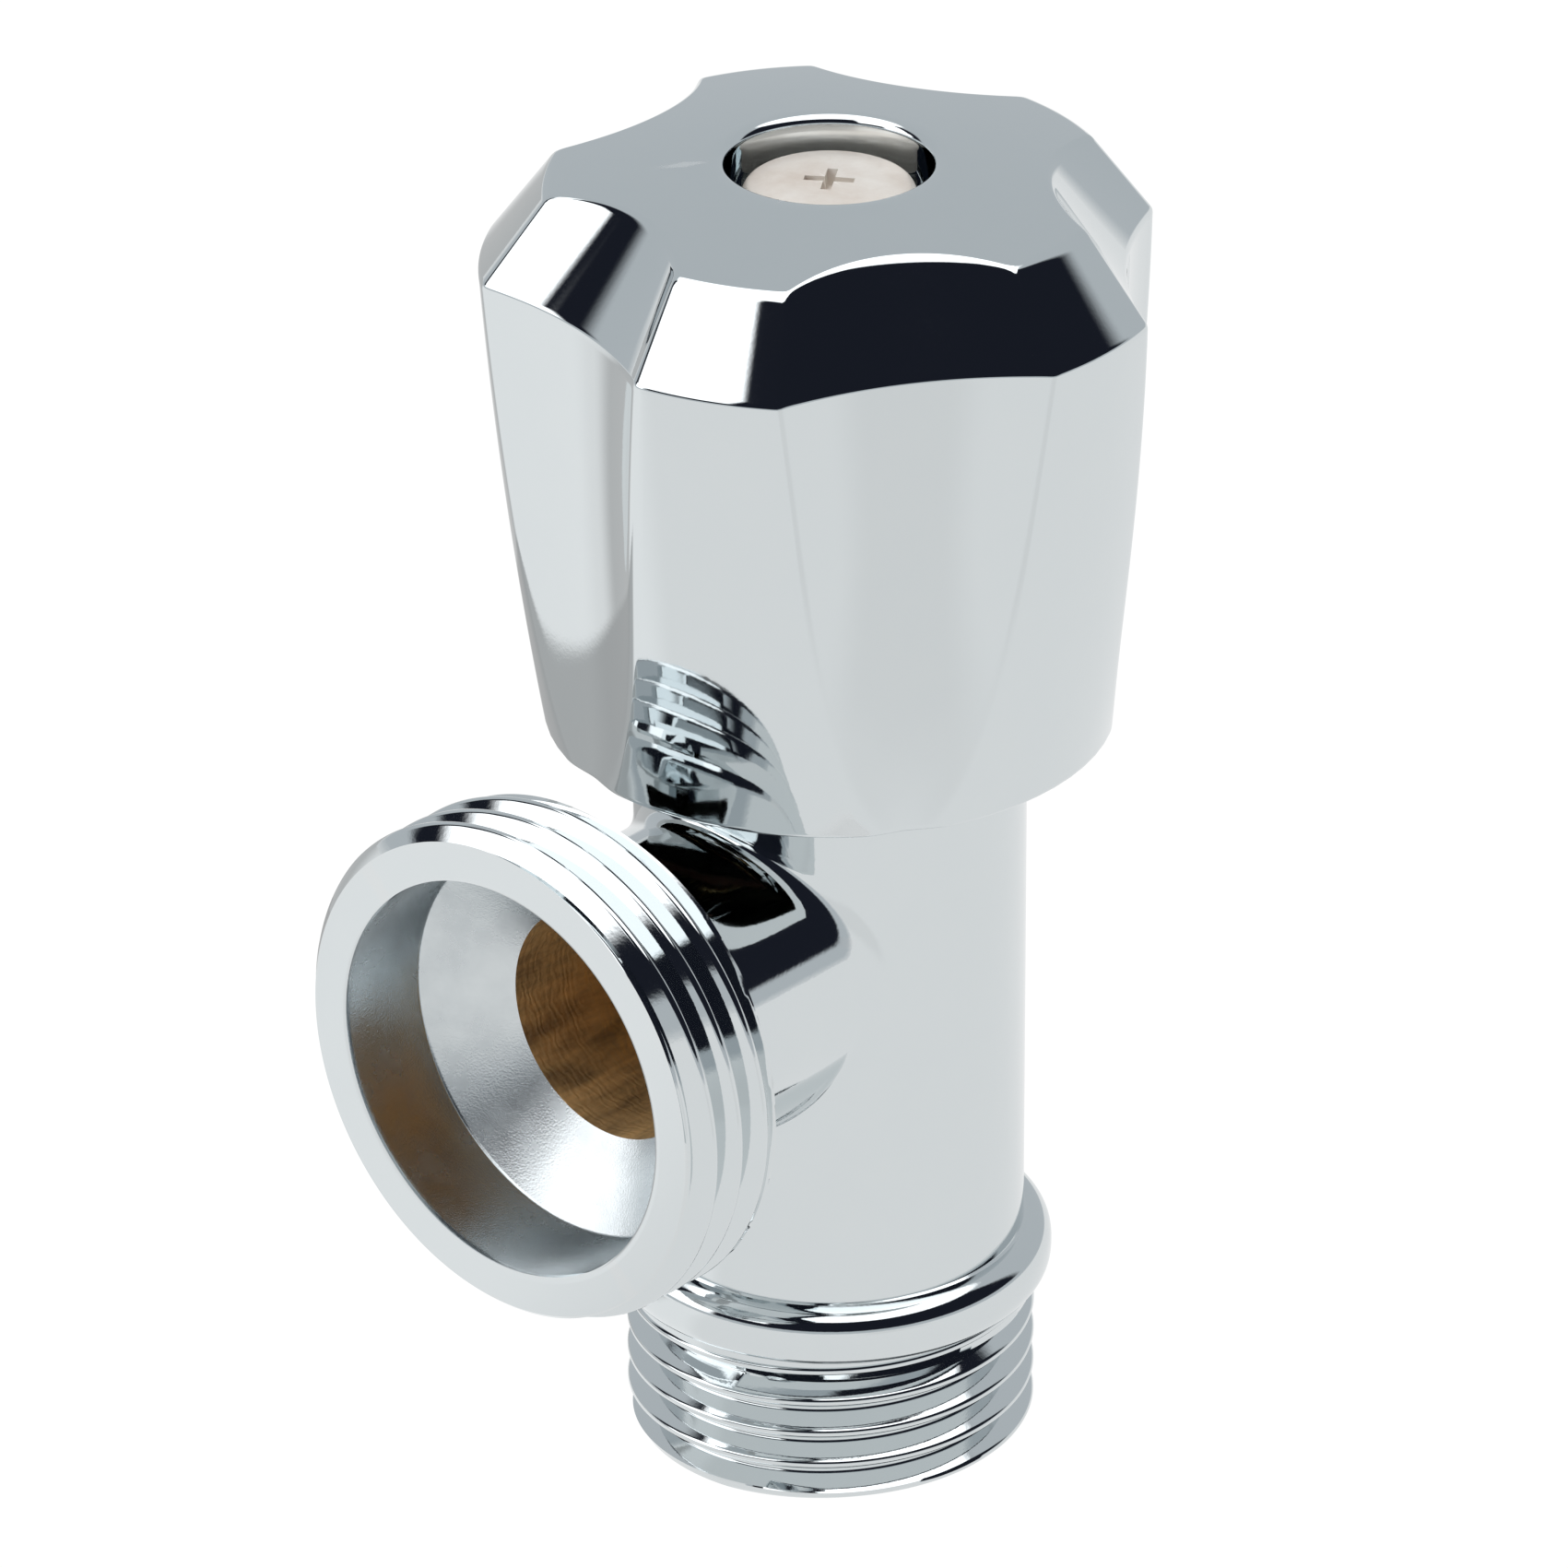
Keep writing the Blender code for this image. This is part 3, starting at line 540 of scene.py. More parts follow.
def outletSurfaces(wallEdge, chamberEdge):
    o = SimpleNamespace(**outlet)
    # fillet: a quadratic curve from the wall to the neck through the line where they would meet
    x, z = o.neck * np.sin(whole), o.height - o.neck * np.cos(whole)
    reach = np.sqrt(body["radius"] ** 2 - x ** 2)
    meet = np.stack([x, -reach, z], -1)
    neckStart = meet - [0, o.fillet * o.filletReach, 0]
    t = np.linspace(0, 1, 9)[:, None, None]
    fillet = (1 - t) ** 2 * wallEdge + 2 * t * (1 - t) * meet + t * t * neckStart
    outline = pipeThreadOutline(o.crest, o.root, body["pitch"])
    start = o.crestAt - body["pitch"] * o.crestAngle / 360
    threadTo = o.face - o.threadStop

    def trimOutlet(radius, height):
        lead = o.rim + (threadTo - height) * o.rimSlope
        back = o.root + o.backStep + (height - o.threadFrom) * o.backSlope
        runOut = o.crest - (height - o.threadFrom - o.runOutStep) * o.runOutSlope
        grown = np.maximum(radius, np.minimum(runOut, o.crest))
        return np.minimum(np.minimum(grown, lead), np.maximum(back, o.root))

    thread = threadRows(outline, start, body["pitch"], (o.threadFrom, threadTo), roundColumns, trimOutlet)
    thread = towardOutlet(thread, o.height)
    behind = openRows([
        (o.neck, o.neckFrom), (o.neck, o.flareFrom, 0.8), (o.root - 0.2, o.back, 0.25),
        (o.root, o.threadFrom - 0.05),
    ], whole)
    neck = np.concatenate([neckStart[None], towardOutlet(behind, o.height), thread[:1, :-1]])
    front = openRows([
        (o.rim - 0.1, o.face), (o.rim - 0.3, o.face), (o.mouth + 0.4, o.face),
        (o.mouth + 0.22, o.face), (o.mouth + 0.04, o.face - 0.07), (o.mouth, o.face - 0.25),
    ], whole)
    front = np.concatenate([thread[-1:, :-1], towardOutlet(front, o.height)])
    mouth = towardOutlet(openRows([
        (o.mouth, o.face - 0.25), (o.mouth, o.face - 0.45),
        (o.mouth, o.coneFront, 0.12), (o.bore + 0.02, o.coneBack),
    ], whole), o.height)
    boreStart = towardOutlet(ring(o.bore, o.coneBack - 0.08, whole), o.height)
    bore = np.array([mouth[-1], boreStart, chamberEdge])
    return [
        tube(fillet, plate), tube(neck, plate), sheet(thread, plate),
        tube(front, plate), tube(mouth, satin), tube(bore, brass),
    ]


outside, neckEdge = bodyOutside()
inside, boreEdge = bodyInside()
makePiece(
    "body_shell", outside + inside + outletSurfaces(neckEdge, boreEdge), [chrome, boreBrass, satinChrome],
    "valve_body", "valve_body",
)


# handle

handle = {
    "turn": 21.4, "bottom": 40.2, "edge": 64.75, "top": 70.3, "crownRadius": 80.0,
    "chamferLobe": 13.9, "chamferValley": 10.8, "chamferHalf": 24.0,
    "recess": 5.1, "recessFloor": 66.0, "recessLip": 0.45, "screwHole": 2.3,
    "cavity": 11.8, "cavityTop": 64.0, "hub": 8.3, "hubBottom": 58.0, "socket": 11.6,
    "cornerZone": 3.0, "cornerSoftness": 0.085, "crownSoftness": 1.2,
    "valleySteps": 10, "cornerSteps": 9, "lobeSteps": 5, "wallRings": 26,
    # growth of the wall with height t above the bottom: a + b t + c t^2 for each, and the ridges'
    # half angle is also drawn in at the foot by dip e^(-t / fade)
    "lobeGrowth": (14.3, 0.170, -0.0020), "valleyGrowth": (14.1, 0.021, 0.0),
    "halfGrowth": (16.8, 0.165, 0.0045), "footDip": 10.8, "footFade": 3.4,
    "crownShares": (0.9, 0.75, 0.6, 0.45, 0.3, 0.18, 0.08), "lipAngles": (22.5, 45, 67.5),
}
fold = 36   # degrees from a valley's middle to a lobe's middle


def fifthShares(half):
    # angles from a valley's middle to the lobe's middle and on to the next valley's middle, close
    # together over the ridge between them, for a valley of the given half angle
    h = SimpleNamespace(**handle)
    zone = h.cornerZone
    first = np.linspace(0, half - zone, h.valleySteps + 1)[:-1]
    ridge = np.linspace(half - zone, half + zone, h.cornerSteps + 1)[:-1]
    lobe = np.linspace(half + zone, fold, h.lobeSteps + 1)
    up = np.concatenate([first, ridge, lobe])
    return np.concatenate([up, 2 * fold - up[-2:0:-1]])


def lobedRing(lobe, valley, half, soft=None):
    # radius = lobe outside the ridges, and inside them a hollow arc through both ridges and the
    # valley's lowest point; the two are blended over the ridge by a soft minimum
    h = SimpleNamespace(**handle)
    away = fifthShares(half)
    folded = np.radians(fold - np.abs(away - fold))
    centre = (lobe ** 2 - valley ** 2) / (2 * (lobe * math.cos(math.radians(half)) - valley))
    arc = centre - valley
    across = np.minimum(centre * np.sin(folded), arc)
    hollow = centre * np.cos(folded) - np.sqrt(arc ** 2 - across ** 2)
    soft = soft or h.cornerSoftness
    blended = -soft * np.logaddexp(-hollow / soft, -lobe / soft)
    radius = np.where(np.degrees(folded) < half + h.cornerZone, blended, lobe)
    angles = np.radians(h.turn + fold + away)
    angles = (angles[None, :] + math.radians(2 * fold) * np.arange(5)[:, None]).ravel()
    return np.tile(radius, 5), angles


roundAngles = np.radians(handle["turn"] + fold + np.linspace(0, 360, roundColumns, endpoint=False))


def roundRing(radius, height):
    return ring(radius, height, roundAngles)


def handleSide(height):
    # the wall's own growth with height: lobes swell and the valleys widen towards the top
    h = SimpleNamespace(**handle)
    t = height - h.bottom
    lobe, valley, half = (a + b * t + c * t * t for a, b, c in (h.lobeGrowth, h.valleyGrowth, h.halfGrowth))
    radius, angles = lobedRing(lobe, valley, half - h.footDip * math.exp(-t / h.footFade))
    return ring(radius, height, angles)


def handleCrown(share):
    # between the chamfer's top edge and the recess, all on one shallow dome
    h = SimpleNamespace(**handle)
    soft = h.cornerSoftness + h.crownSoftness * (1 - share)
    radius, angles = lobedRing(h.chamferLobe, h.chamferValley, h.chamferHalf, soft)
    level = roundRing(h.recess + h.recessLip, 0)
    flat = ring(radius, 0, angles) * share + level * (1 - share)
    out = np.linalg.norm(flat[:, :2], axis=1)
    flat[:, 2] = h.top + (h.recess ** 2 - out ** 2) / (2 * h.crownRadius)
    return flat


def makeHandle():
    h = SimpleNamespace(**handle)
    wall = np.linspace(h.bottom + 1.2, h.edge - 1.0, h.wallRings)
    corners = [(handleSide(h.bottom), 0.3)] + [(handleSide(z), 0) for z in wall]
    corners += [(handleSide(h.edge), 0.22), (handleCrown(1.0), 0.36)]
    corners += [(handleCrown(share), 0) for share in h.crownShares]
    recess, lip = h.recess, h.recessLip
    lipTop = h.top + (recess ** 2 - (recess + lip) ** 2) / (2 * h.crownRadius)
    corners.append((roundRing(recess + lip, lipTop), 0))
    for angle in np.radians(h.lipAngles):
        across, down = lip * (1 - math.sin(angle)), lip * (1 - math.cos(angle))
        corners.append((roundRing(recess + across, lipTop - down), 0))
    socket = hexagon(h.socket)(roundAngles - math.radians(h.turn))
    inner = [
        (recess, lipTop - lip, 0), (recess, lipTop - lip - 0.3, 0), (recess, h.recessFloor, 0.4),
        (h.screwHole, h.recessFloor, 0.1), (h.screwHole, h.cavityTop, 0), (socket, h.cavityTop, 0),
        (socket, h.hubBottom, 0.12), (h.hub, h.hubBottom, 0.2), (h.hub, h.cavityTop, 0.5),
        (h.cavity, h.cavityTop, 0.6), (h.cavity, h.bottom, 0.3),
    ]
    corners += [(roundRing(radius, height), easing) for radius, height, easing in inner]
    rows = easeCorners(np.array([row for row, _ in corners]), [e for _, e in corners])
    makePiece("lobed_handle", [hoop(rows)], [handleChrome], "handle", "handle")


makeHandle()


# handle screw

handleScrew = {
    "head": 4.3, "headFrom": 67.3, "headTop": 69.2, "shank": 2.0, "shankRoot": 1.62, "foot": 58.9,
    "pitch": 0.7, "slotLong": 3.0, "slotWide": 0.7, "slotDepth": 0.8, "slotTaper": 0.9, "slotAngle": 12.0,
    # the head's outline as shares of its radius and rise, with the easing of each corner
    "dome": ((1.0, 0.68, 0.2), (0.94, 0.87, 0.2), (0.7, 0.965, 0.4), (0.35, 0.99, 0.4)),
}
joinGap = 0.02   # between a thread's last row and the plain row that follows it
shankEnds = {"bluntness": 0.45, "step": 0.2, "neckTurns": 0.6}   # the point, and the neck in turns of thread


def veeOutline(crest, root, flat=0.12):
    # a plain vee with a narrow flat on the crest and in the root
    share = np.array([-flat / 2, flat / 2, 0.5 - flat / 2, 0.5 + flat / 2])
    return share, np.array([crest, crest, root, root])


def threadedShank(radius, root, pitch, low, high, columns, hand=1):
    # a threaded shank with a chamfered point at its low end and a plain neck at its high end
    def trim(reach, height):
        point = radius - shankEnds["bluntness"] * (radius - root) - shankEnds["step"] + (height - low)
        neck = np.where(height > high - shankEnds["neckTurns"] * pitch, root + joinGap, np.inf)
        return np.minimum(np.minimum(reach, point), neck)

    return threadRows(veeOutline(radius, root), low, pitch, (low, high), columns, trim, hand)


def makeHandleScrew():
    s = SimpleNamespace(**handleScrew)
    shank = threadedShank(s.shank, s.shankRoot, s.pitch, s.foot, s.headFrom - joinGap, smallColumns)
    point = np.array([shank[0, :-1], ring(0, s.foot, fine)])
    rise = s.headTop - s.headFrom
    under = [(s.shankRoot + joinGap, s.headFrom - joinGap), (s.shank, s.headFrom)]
    under.append((s.head, s.headFrom, 0.15))
    dome = [(s.head * out, s.headFrom + up * rise, easing) for out, up, easing in s.dome]
    head = openRows(under + dome + [(0, s.headTop)])
    head = np.concatenate([shank[-1:, :-1], head])
    screw = makePiece(
        "recess_screw", [sheet(shank), tube(point), tube(head)], [screwSteel],
        "handle", "handle_screw",
    )
    bottom = s.headTop - s.slotDepth
    bars = []
    for name, turned in (("slot_a", 0), ("slot_b", 90)):
        bar = taperedBar(name, s.slotLong, s.slotWide, s.headTop + 1, bottom, s.slotTaper)
        bar.data.transform(Matrix.Rotation(math.radians(handle["turn"] + s.slotAngle + turned), 4, "Z"))
        bars.append(bar)
    cutWith(screw, bars)


makeHandleScrew()


# pieces that both the headwork and the handle need

def splitRing(name, profile, start, sweep, finish, body, node):
    # a ring with a gap: the profile is carried round part of a turn, and each end is closed by
    # drawing its outline in to the middle of the section
    angles = start + sweep * np.linspace(0, 1, smallColumns + 1)
    rows = turnedRows(profile, angles)
    middle = rows.mean(axis=0, keepdims=True)
    first, last = middle[:, :1] + 0 * rows[:, :1], middle[:, -1:] + 0 * rows[:, -1:]
    grid = np.concatenate([first, rows, last], axis=1)
    makePiece(name, [(grid, True, False, 0)], [finish], body, node)


def flatWasher(name, size, finish, body, node, easing=0.12):
    # a flat ring: four corners round the axis, each eased
    inner, outer, low, high = size
    rows = turnedRows(
        [(inner, low, easing), (outer, low, easing), (outer, high, easing), (inner, high, easing)], fine
    )
    makePiece(name, [hoop(rows)], [finish], body, node)


def sealRing(name, size, body, node, flash=0.015, flashWidth=0.12):
    # a torus of cord radius a whose section swells a little at the mould's parting line:
    # a (1 + flash e^-(sin t / width)^2)
    radius, cord, height = size
    around = np.arange(sealSteps) * turn / sealSteps
    section = cord * (1 + flash * np.exp(-(np.sin(around) / flashWidth) ** 2) - flash)
    rows = np.array(
        [ring(radius + a * math.cos(t), height + a * math.sin(t), fine) for a, t in zip(section, around)]
    )
    makePiece(name, [hoop(rows)], [rubber], body, node)


def toothed(tip, root):
    # a toothed edge: a wave of the angle, squared off by a tanh, between the root and the tip
    def radius(angles):
        wave = np.tanh(splines["squareness"] * np.cos(splines["teeth"] * angles))
        return root + (tip - root) * (0.5 + 0.5 * wave / math.tanh(splines["squareness"]))
    return radius


sealSteps = 28
splines = {"teeth": 18, "squareness": 1.6, "columns": 216}
toothAngles = np.arange(splines["columns"]) * turn / splines["columns"]


# headwork: the brass body that carries the spindle, with its fixed seals and washers

headwork = {
    "bottom": 36.5, "thread": 8.2, "threadRoot": 7.7, "threadPitch": 1.0,
    "grooveFrom": 38.0, "grooveTo": 40.0, "groove": 7.0, "threadTo": 44.4, "fadeLong": 0.8, "fadeSlope": 0.7,
    "flangeFrom": 45.4, "flangeTop": 48.4, "flangeFlats": 18.6, "flangeChamfer": 0.75,
    "flangeCorner": 0.985, "chamferCorner": 0.925,   # how far out the hexagon's corners reach
    "neck": 6.6, "top": 55.0, "stemBore": 4.5, "shoulder": 49.4, "collarBore": 5.6, "collarFrom": 46.6,
    "guideFlats": 11.0, "guideFrom": 42.0, "guide": 6.3,
    # inner and outer radius, bottom and top of the rings; ring radius, cord radius and height of the seal
    "gasket": (8.5, 9.61, 44.3, 45.1), "collarRing": (4.5, 5.3, 48.5, 49.1),
    "slipRing": (4.5, 6.2, 55.3, 55.95), "seal": (7.75, 0.45, 39.0),
}


def makeHeadwork():
    h = SimpleNamespace(**headwork)

    def trim(radius, height):
        # the thread fades out towards the flange
        return np.maximum(radius, h.threadRoot + (height - h.threadTo + h.fadeLong) * h.fadeSlope)

    outline = veeOutline(h.thread, h.threadRoot)
    span = (h.grooveTo, h.threadTo)
    thread = threadRows(outline, h.grooveTo, h.threadPitch, span, smallColumns, trim)
    thread[..., :2] *= np.minimum(1, h.thread / np.linalg.norm(thread[..., :2], axis=-1, keepdims=True))
    flange, cut = (hexagon(h.flangeFlats, corner) for corner in (h.flangeCorner, h.chamferCorner))
    guide = hexagon(h.guideFlats)
    low, high = h.flangeFrom, h.flangeTop
    above = openRows([
        (h.thread, h.threadTo + 0.05), (h.thread, low), (cut, low, 0.1), (flange, low + h.flangeChamfer, 0.1),
        (flange, high - h.flangeChamfer, 0.1), (cut, high, 0.1), (h.neck, high, 0.4), (h.neck, h.top, 0.35),
        (h.stemBore, h.top, 0.2), (h.stemBore, h.shoulder), (h.collarBore, h.shoulder),
        (h.collarBore, h.collarFrom), (guide, h.collarFrom), (guide, h.guideFrom),
        (h.guide + 0.15, h.guideFrom), (h.guide, h.bottom, 0.3), (h.thread - 0.3, h.bottom),
        (h.thread, h.bottom + 0.3), (h.thread, h.grooveFrom, 0.15), (h.groove, h.grooveFrom, 0.2),
        (h.groove, h.grooveTo - joinGap, 0.2), (h.threadRoot - 0.1, h.grooveTo - joinGap),
    ])
    above = np.concatenate([thread[-1:, :-1], above, thread[:1, :-1]])
    makePiece(
        "headwork_body", [sheet(thread), tube(above)], [headBrass],
        "valve_body", "head_body",
    )
    flatWasher("fibre_gasket", h.gasket, fibre, "valve_body", "head_gasket", 0.2)
    flatWasher("collar_washer", h.collarRing, acetal, "valve_body", "thrust_washer")
    flatWasher("clip_slip_washer", h.slipRing, acetal, "valve_body", "clip_washer")
    sealRing("headwork_seal", h.seal, "valve_body", "head_o_ring")


makeHeadwork()


# spindle and what turns with it

spindle = {
    "bottom": 31.9, "thread": 3.0, "threadRoot": 2.5, "pitch": 1.5,
    "collar": 5.3, "collarFrom": 46.9, "collarTo": 48.2, "stem": 4.2,
    "groove": 2.8, "grooves": ((50.2, 51.8), (52.6, 54.2)), "sealRadius": 3.6, "sealCord": 0.5,
    "clipGroove": 3.1, "clipFrom": 55.95, "clipTo": 57.25,
    "top": 63.6, "tip": 3.7, "root": 3.35, "toothCut": 0.05, "toothLead": 0.3,
    "hole": 2.3, "holeFrom": 58.3, "drillDepth": 0.6, "countersink": 0.25,
    "clipInner": 3.4, "clipOuter": 5.6, "clipSpan": (56.25, 56.95), "clipOpen": 70.0,
    "prongReach": 0.8, "prongShape": 0.6,
    "insertFlats": 11.0, "insertCorner": 0.97, "insertSpan": (58.3, 63.7), "toothGap": 0.36,
    "springSize": (2.3, 3.6, 66.3, 67.0), "springOpen": 11.0,
}


def makeSpindle():
    s = SimpleNamespace(**spindle)
    shift = math.radians(handle["turn"])
    # the drive thread is left-handed, so that turning the handle clockwise shuts the valve
    threadTo = s.collarFrom - joinGap
    thread = threadedShank(
        s.thread, s.threadRoot, s.pitch, s.bottom, threadTo, splines["columns"], hand=-1
    )
    foot = np.array([thread[0, :-1], ring(0, s.bottom, toothAngles)])
    profile = [
        (s.threadRoot + joinGap, threadTo), (s.collar, s.collarFrom, 0.15),
        (s.collar, s.collarTo, 0.15), (s.stem, s.collarTo, 0.1),
    ]
    for low, high in s.grooves:
        profile += [(s.stem, low, 0.1), (s.groove, low, 0.15), (s.groove, high, 0.15), (s.stem, high, 0.1)]
    profile += [(s.stem, s.clipFrom, 0.15), (s.clipGroove, s.clipFrom, 0.05), (s.clipGroove, s.clipTo, 0.05)]
    upper = openRows(profile, toothAngles)
    upper = np.concatenate([thread[-1:, :-1], upper])
    teeth, ends = toothed(s.tip, s.root), toothed(s.root + s.toothCut, s.root - s.toothCut)
    splined = openRows([
        (s.clipGroove, s.clipTo), (ends, s.clipTo), (teeth, s.clipTo + s.toothLead),
        (teeth, s.top - s.toothLead - 0.05), (ends, s.top), (s.hole + s.countersink, s.top),
        (s.hole, s.top - s.countersink), (s.hole, s.holeFrom), (0, s.holeFrom - s.drillDepth),
    ], toothAngles, shift)
    # the plain part below is turned to the same angles before it meets the teeth
    upper[-1] = splined[0]
    makePiece(
        "drive_spindle", [sheet(thread), tube(foot), tube(upper), tube(splined)], [brightBrass],
        "handle", "spindle",
    )


def makeInsert():
    s = SimpleNamespace(**spindle)
    low, high = s.insertSpan
    bore = toothed(s.tip + s.toothGap, s.root + s.toothGap)
    outside = hexagon(s.insertFlats, s.insertCorner)
    rows = turnedRows(
        [(bore, low, 0.1), (outside, low, 0.25), (outside, high, 0.25), (bore, high, 0.1)], toothAngles,
        shift=math.radians(handle["turn"]),
    )
    makePiece("spline_plug", [hoop(rows)], [acetal], "handle", "spline_insert")


def makeSpindleFittings():
    s = SimpleNamespace(**spindle)
    inner, outer, low, high = s.springSize
    corners = [(inner, low, 0.06), (outer, low, 0.06), (outer, high, 0.06), (inner, high, 0.06)]
    sweep = math.radians(360 - s.springOpen)
    splitRing("spring_washer", corners, 0, sweep, springSteel, "handle", "screw_lock_washer")
    for place, (low, high) in zip(("lower", "upper"), s.grooves):
        size = (s.sealRadius, s.sealCord, (low + high) / 2)
        sealRing(f"stem_seal_{place}", size, "handle", f"spindle_o_ring_{place}")
    opened = math.radians(360 - s.clipOpen)

    def inside(angles):
        # three prongs grip the groove, with a hollow between each two
        hollow = np.sin(turn * angles / opened) ** 2
        return s.clipInner + s.prongReach * hollow ** s.prongShape

    low, high = s.clipSpan
    corners = [(inside, low, 0.08), (s.clipOuter, low, 0.08), (s.clipOuter, high, 0.08), (inside, high, 0.08)]
    splitRing("spindle_clip", corners, 0, opened, springSteel, "handle", "retaining_clip")


makeSpindle()
makeInsert()
makeSpindleFittings()


# plunger and the washer that it carries

plunger = {
    "foot": 24.7, "footTop": 26.2, "footRadius": 6.4, "stem": 5.2, "guide": 5.9, "guideFrom": 34.8,
    "guideTo": 38.7, "grooveFrom": 36.7, "grooveTo": 38.2, "groove": 4.6,
    "flats": 10.4, "hexCorner": 0.965, "hexFrom": 39.0, "top": 43.3,
    "bore": 3.3, "boreRoot": 3.75, "boreFrom": 27.8, "threadFrom": 29.0, "mouthDeep": 0.4, "drillDepth": 0.6,
    "tap": 1.8, "tapTop": 26.6, "tapDrill": 0.3,
    "seal": (5.4, 0.45, 37.45), "washer": (1.8, 6.0, 22.0, 24.4), "plate": (1.8, 3.5, 20.9, 21.7),
    "screwHead": 2.8, "screwFrom": 19.2, "screwTo": 20.6,
    "screwDome": ((1.0, 0.45, 0.3), (0.8, 0.1, 0.3), (0.4, 0.02, 0.2)),   # share of the head, rise, easing
    "shank": 1.5, "shankRoot": 1.2, "shankTop": 26.3, "shankPitch": 0.5, "slotWide": 0.8, "slotDeep": 0.6,
}


def makePlunger():
    p = SimpleNamespace(**plunger)
    drive = hexagon(p.flats, p.hexCorner)
    outline = veeOutline(p.bore, p.boreRoot)

    def trim(radius, height):
        # the inside thread starts above the drilled end and opens at a countersink
        return np.where(height < p.threadFrom + 0.01, p.bore, radius)

    span = (p.threadFrom, p.top - p.mouthDeep)
    thread = threadRows(outline, p.threadFrom, spindle["pitch"], span, smallColumns, trim, hand=-1)
    around = openRows([
        (p.bore + 0.45, p.top), (drive, p.top, 0.25), (drive, p.hexFrom, 0.1), (p.guide * 0.95, p.guideTo),
        (p.guide, p.guideTo - 0.25), (p.guide, p.grooveTo, 0.1), (p.groove, p.grooveTo, 0.15),
        (p.groove, p.grooveFrom, 0.15), (p.guide, p.grooveFrom, 0.1), (p.guide, p.guideFrom, 0.2),
        (p.stem, p.guideFrom, 0.4), (p.stem, p.footTop, 0.5), (p.footRadius, p.footTop, 0.25),
        (p.footRadius, p.foot, 0.15), (p.tap, p.foot, 0.1), (p.tap, p.tapTop), (0, p.tapTop + p.tapDrill),
    ])
    around = np.concatenate([thread[-1:, :-1], around])
    below = openRows([(p.bore, p.threadFrom - 0.05), (p.bore, p.boreFrom), (0, p.boreFrom - p.drillDepth)])
    below = np.concatenate([thread[:1, :-1], below])
    makePiece(
        "plunger_stem", [sheet(thread), tube(around), tube(below)], [brightBrass],
        "plunger", "plunger",
    )
    sealRing("plunger_seal", p.seal, "plunger", "plunger_o_ring")
    flatWasher("rubber_seat_washer", p.washer, rubber, "plunger", "seat_washer", 0.3)
    flatWasher("brass_plate", p.plate, brightBrass, "plunger", "washer_plate", 0.15)


def makeWasherScrew():
    p = SimpleNamespace(**plunger)
    low, high = -p.shankTop, -p.screwTo - joinGap
    shank = threadedShank(p.shank, p.shankRoot, p.shankPitch, low, high, smallColumns)
    shank = shank * [1, -1, -1]   # its point is upwards, so the shank is turned over
    point = np.array([shank[0, :-1], [0, 0, p.shankTop] + 0 * shank[0, :-1]])
    over = [(p.shankRoot + joinGap, p.screwTo + joinGap), (p.shank, p.screwTo)]
    over.append((p.screwHead, p.screwTo, 0.1))
    dome = [(p.screwHead * out, p.screwFrom + up, easing) for out, up, easing in p.screwDome]
    head = openRows(over + dome + [(0, p.screwFrom)])
    head = head * [1, -1, 1]      # the columns run the other way round, as the shank's do
    head = np.concatenate([shank[-1:, :-1], head])
    screw = makePiece(
        "seat_washer_screw", [sheet(shank), tube(point), tube(head)], [brightBrass],
        "plunger", "washer_screw",
    )
    low, high = p.screwFrom - 1, p.screwFrom + p.slotDeep
    cutWith(screw, [taperedBar("slot", 3 * p.screwHead, p.slotWide, high, low, 0)])


makePlunger()
makeWasherScrew()


# camera, floor and studio

view = {
    "place": (0.33705, -0.37595, 0.29530), "heading": 42.139, "down": 27.191, "roll": -0.180, "lens": 259.2,
    "nearest": 0.01,
}


def makeCamera():
    v = SimpleNamespace(**view)
    heading, down, roll = (math.radians(angle) for angle in (v.heading, v.down, v.roll))
    forward = np.array(
        [-math.sin(heading) * math.cos(down), math.cos(heading) * math.cos(down), -math.sin(down)]
    )
    right = np.array([math.cos(heading), math.sin(heading), 0.0])
    up = np.cross(right, forward)
    sideways = math.cos(roll) * right + math.sin(roll) * up
    upright = math.cos(roll) * up - math.sin(roll) * right
    data = bpy.data.cameras.new("camera")
    data.lens = v.lens
    data.clip_start = v.nearest
    camera = bpy.data.objects.new("camera", data)
    bpy.context.scene.collection.objects.link(camera)
    matrix = np.eye(4)
    matrix[:3, 0], matrix[:3, 1], matrix[:3, 2], matrix[:3, 3] = sideways, upright, -forward, v.place
    camera.matrix_world = Matrix(matrix.tolist())
    bpy.context.scene.camera = camera


studio = {
    "towardCamera": 42.0,   # where the open side of the studio lies, from the outlet's direction
    "floorSize": 4.0, "floorDrop": 0.00005, "lampPower": 3.0, "lampSize": 0.5,
    "lampPlace": (-0.35, -0.75, 0.65), "lampTurn": (52, 0, -25),
    "backdrop": (0.555, 0.585, 0.61), "dark": (0.012, 0.014, 0.022), "white": (1.0, 1.0, 1.0),
    "softbox": (1.9, 1.9, 1.92), "paper": (0.02, 0.02, 0.02, 1),
    # azimuths from the camera's side, growing to the right, and heights above the floor, in degrees
    "darkSide": (-115, 108, 4), "darkHeight": (9, 52.5, 1.5),
    "boxSide": (-96, -33, 2), "boxHeight": (22, 62, 2), "lowBoxSide": (-100, -62, 3),
    "lowBoxHeight": (8, 24, 2), "horizon": 2.0,
    # how bright the floor looks in the plate, and painted light and shade on it: a brighter patch, two darker
    # patches and, last, the valve's own painted shadow near its foot; azimuths, distances, share left
    "floorGlow": 0.885,
    "floorPatches": (
        ((-112, -62, 6), (0.0, 4.0, 0.01), 1.11),
        ((16, 46, 6), (0.09, 4.0, 0.01), 0.925),
        ((-165, -123, 6), (0.0985, 4.0, 0.0015), 0.62),
        ((-165, -86, 6), (0.03, 0.0985, 0.0015), 0.5),
    ),
}


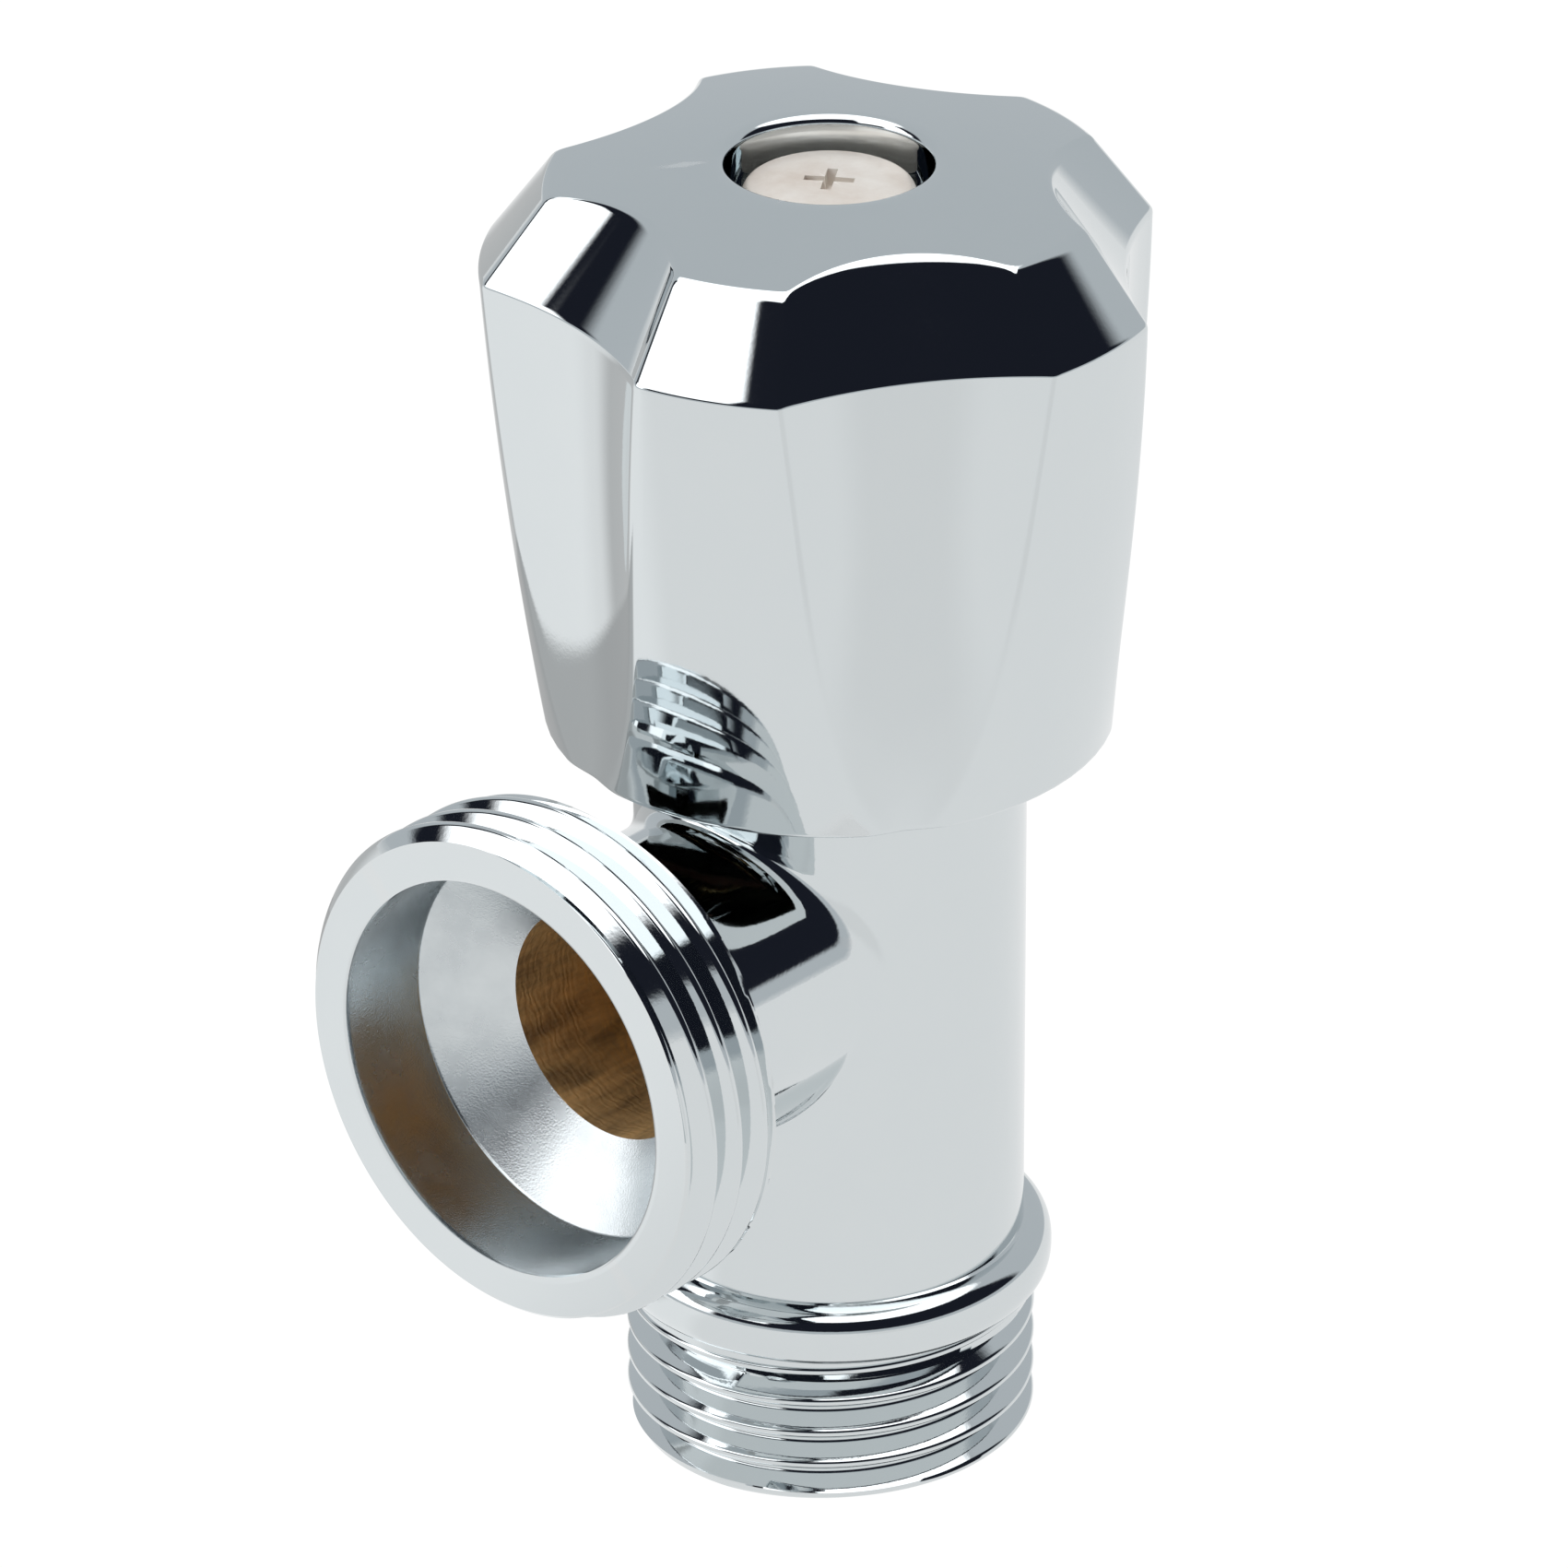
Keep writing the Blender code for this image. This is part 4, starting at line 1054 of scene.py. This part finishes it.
def windowMask(tree, value, window):
    # 1 between two values and 0 outside them, with soft ends
    low, high, soft = window
    rise = ramp(tree, value, low - soft, low + soft, interpolation_type="SMOOTHSTEP")
    fall = ramp(tree, value, high + soft, high - soft, interpolation_type="SMOOTHSTEP")
    return maths(tree, "MULTIPLY", rise, fall)


def studioAngles(tree, direction):
    # azimuth from the camera's side and height above the floor, in degrees
    turned = addNode(
        tree, "ShaderNodeVectorRotate", {"Vector": direction, "Angle": math.radians(-studio["towardCamera"])},
        rotation_type="Z_AXIS",
    )
    axes = addNode(tree, "ShaderNodeSeparateXYZ", {0: turned.outputs[0]})
    front = maths(tree, "MULTIPLY", axes.outputs["Y"], -1.0)
    azimuth = maths(tree, "MULTIPLY", maths(tree, "ARCTAN2", axes.outputs["X"], front), 180 / math.pi)
    height = maths(tree, "MULTIPLY", maths(tree, "ARCSINE", axes.outputs["Z"]), 180 / math.pi)
    return azimuth, height


def makeStudio():
    s = SimpleNamespace(**studio)
    size = s.floorSize / 2
    mesh = bpy.data.meshes.new("floor")
    mesh.from_pydata(
        [(-size, -size, 0), (size, -size, 0), (size, size, 0), (-size, size, 0)], [], [(0, 1, 2, 3)]
    )
    floor = bpy.data.objects.new("floor", mesh)
    floor.location.z = -s.floorDrop
    bpy.context.scene.collection.objects.link(floor)
    paper, tree, shader, place = newFinish("white paper with painted light and shade")
    shader.inputs["Base Color"].default_value = s.paper
    shader.inputs["Roughness"].default_value = 1.0
    shader.inputs["Specular IOR Level"].default_value = 0.0
    shader.inputs["Emission Color"].default_value = (1, 1, 1, 1)
    azimuth, _ = studioAngles(tree, place)
    distance = addNode(tree, "ShaderNodeVectorMath", {0: place}, operation="LENGTH").outputs["Value"]
    glowWithPaintedLightAndShade = s.floorGlow
    # painted light and shade on the floor, seen only in the chrome's reflections: each patch scales the
    # floor's glow, and the last is the valve's painted shadow
    for side, reach, left in s.floorPatches:
        paintedPatch = maths(tree, "MULTIPLY", windowMask(tree, azimuth, side), windowMask(tree, distance, reach))
        glowWithPaintedLightAndShade = maths(tree, "MULTIPLY", glowWithPaintedLightAndShade, spread(tree, paintedPatch, 1.0, left))
    seen = addNode(tree, "ShaderNodeLightPath").outputs["Is Camera Ray"]
    tree.links.new(maths(tree, "MAXIMUM", glowWithPaintedLightAndShade, seen), shader.inputs["Emission Strength"])
    under = addNode(tree, "ShaderNodeNewGeometry").outputs["Backfacing"]   # the paper is clear from below
    tree.links.new(maths(tree, "SUBTRACT", 1.0, under), shader.inputs["Alpha"])
    mesh.materials.append(paper)

    world = bpy.data.worlds.new("studio")
    bpy.context.scene.world = world
    world.use_nodes = True
    tree = world.node_tree
    tree.nodes.clear()
    direction = addNode(tree, "ShaderNodeTexCoord").outputs["Generated"]
    azimuth, height = studioAngles(tree, direction)
    darkSide = maths(
        tree, "MULTIPLY", windowMask(tree, azimuth, s.darkSide), windowMask(tree, height, s.darkHeight)
    )
    colour = mixColour(tree, darkSide, s.backdrop, s.dark)
    _, darkTop, soft = s.darkHeight
    colour = mixColour(tree, ramp(tree, height, darkTop - soft, darkTop + soft), colour, s.softbox)
    for side, tall in ((s.boxSide, s.boxHeight), (s.lowBoxSide, s.lowBoxHeight)):
        boxed = maths(tree, "MULTIPLY", windowMask(tree, azimuth, side), windowMask(tree, height, tall))
        colour = mixColour(tree, boxed, colour, s.softbox)
    low = ramp(tree, height, s.horizon, -s.horizon)
    colour = mixColour(tree, low, colour, (s.floorGlow,) * 3)
    seen = addNode(tree, "ShaderNodeLightPath").outputs["Is Camera Ray"]
    colour = mixColour(tree, seen, colour, s.white)
    background = addNode(tree, "ShaderNodeBackground", {"Color": colour})
    output = addNode(tree, "ShaderNodeOutputWorld")
    tree.links.new(background.outputs[0], output.inputs[0])

    lamp = bpy.data.lights.new("key", "AREA")
    lamp.energy = s.lampPower
    lamp.size = s.lampSize
    key = bpy.data.objects.new("key", lamp)
    key.location = s.lampPlace
    key.rotation_euler = [math.radians(angle) for angle in s.lampTurn]
    key.visible_glossy = False
    bpy.context.scene.collection.objects.link(key)
    bpy.context.scene.view_settings.view_transform = "Standard"


makeCamera()
makeStudio()
print("camera and studio ready")
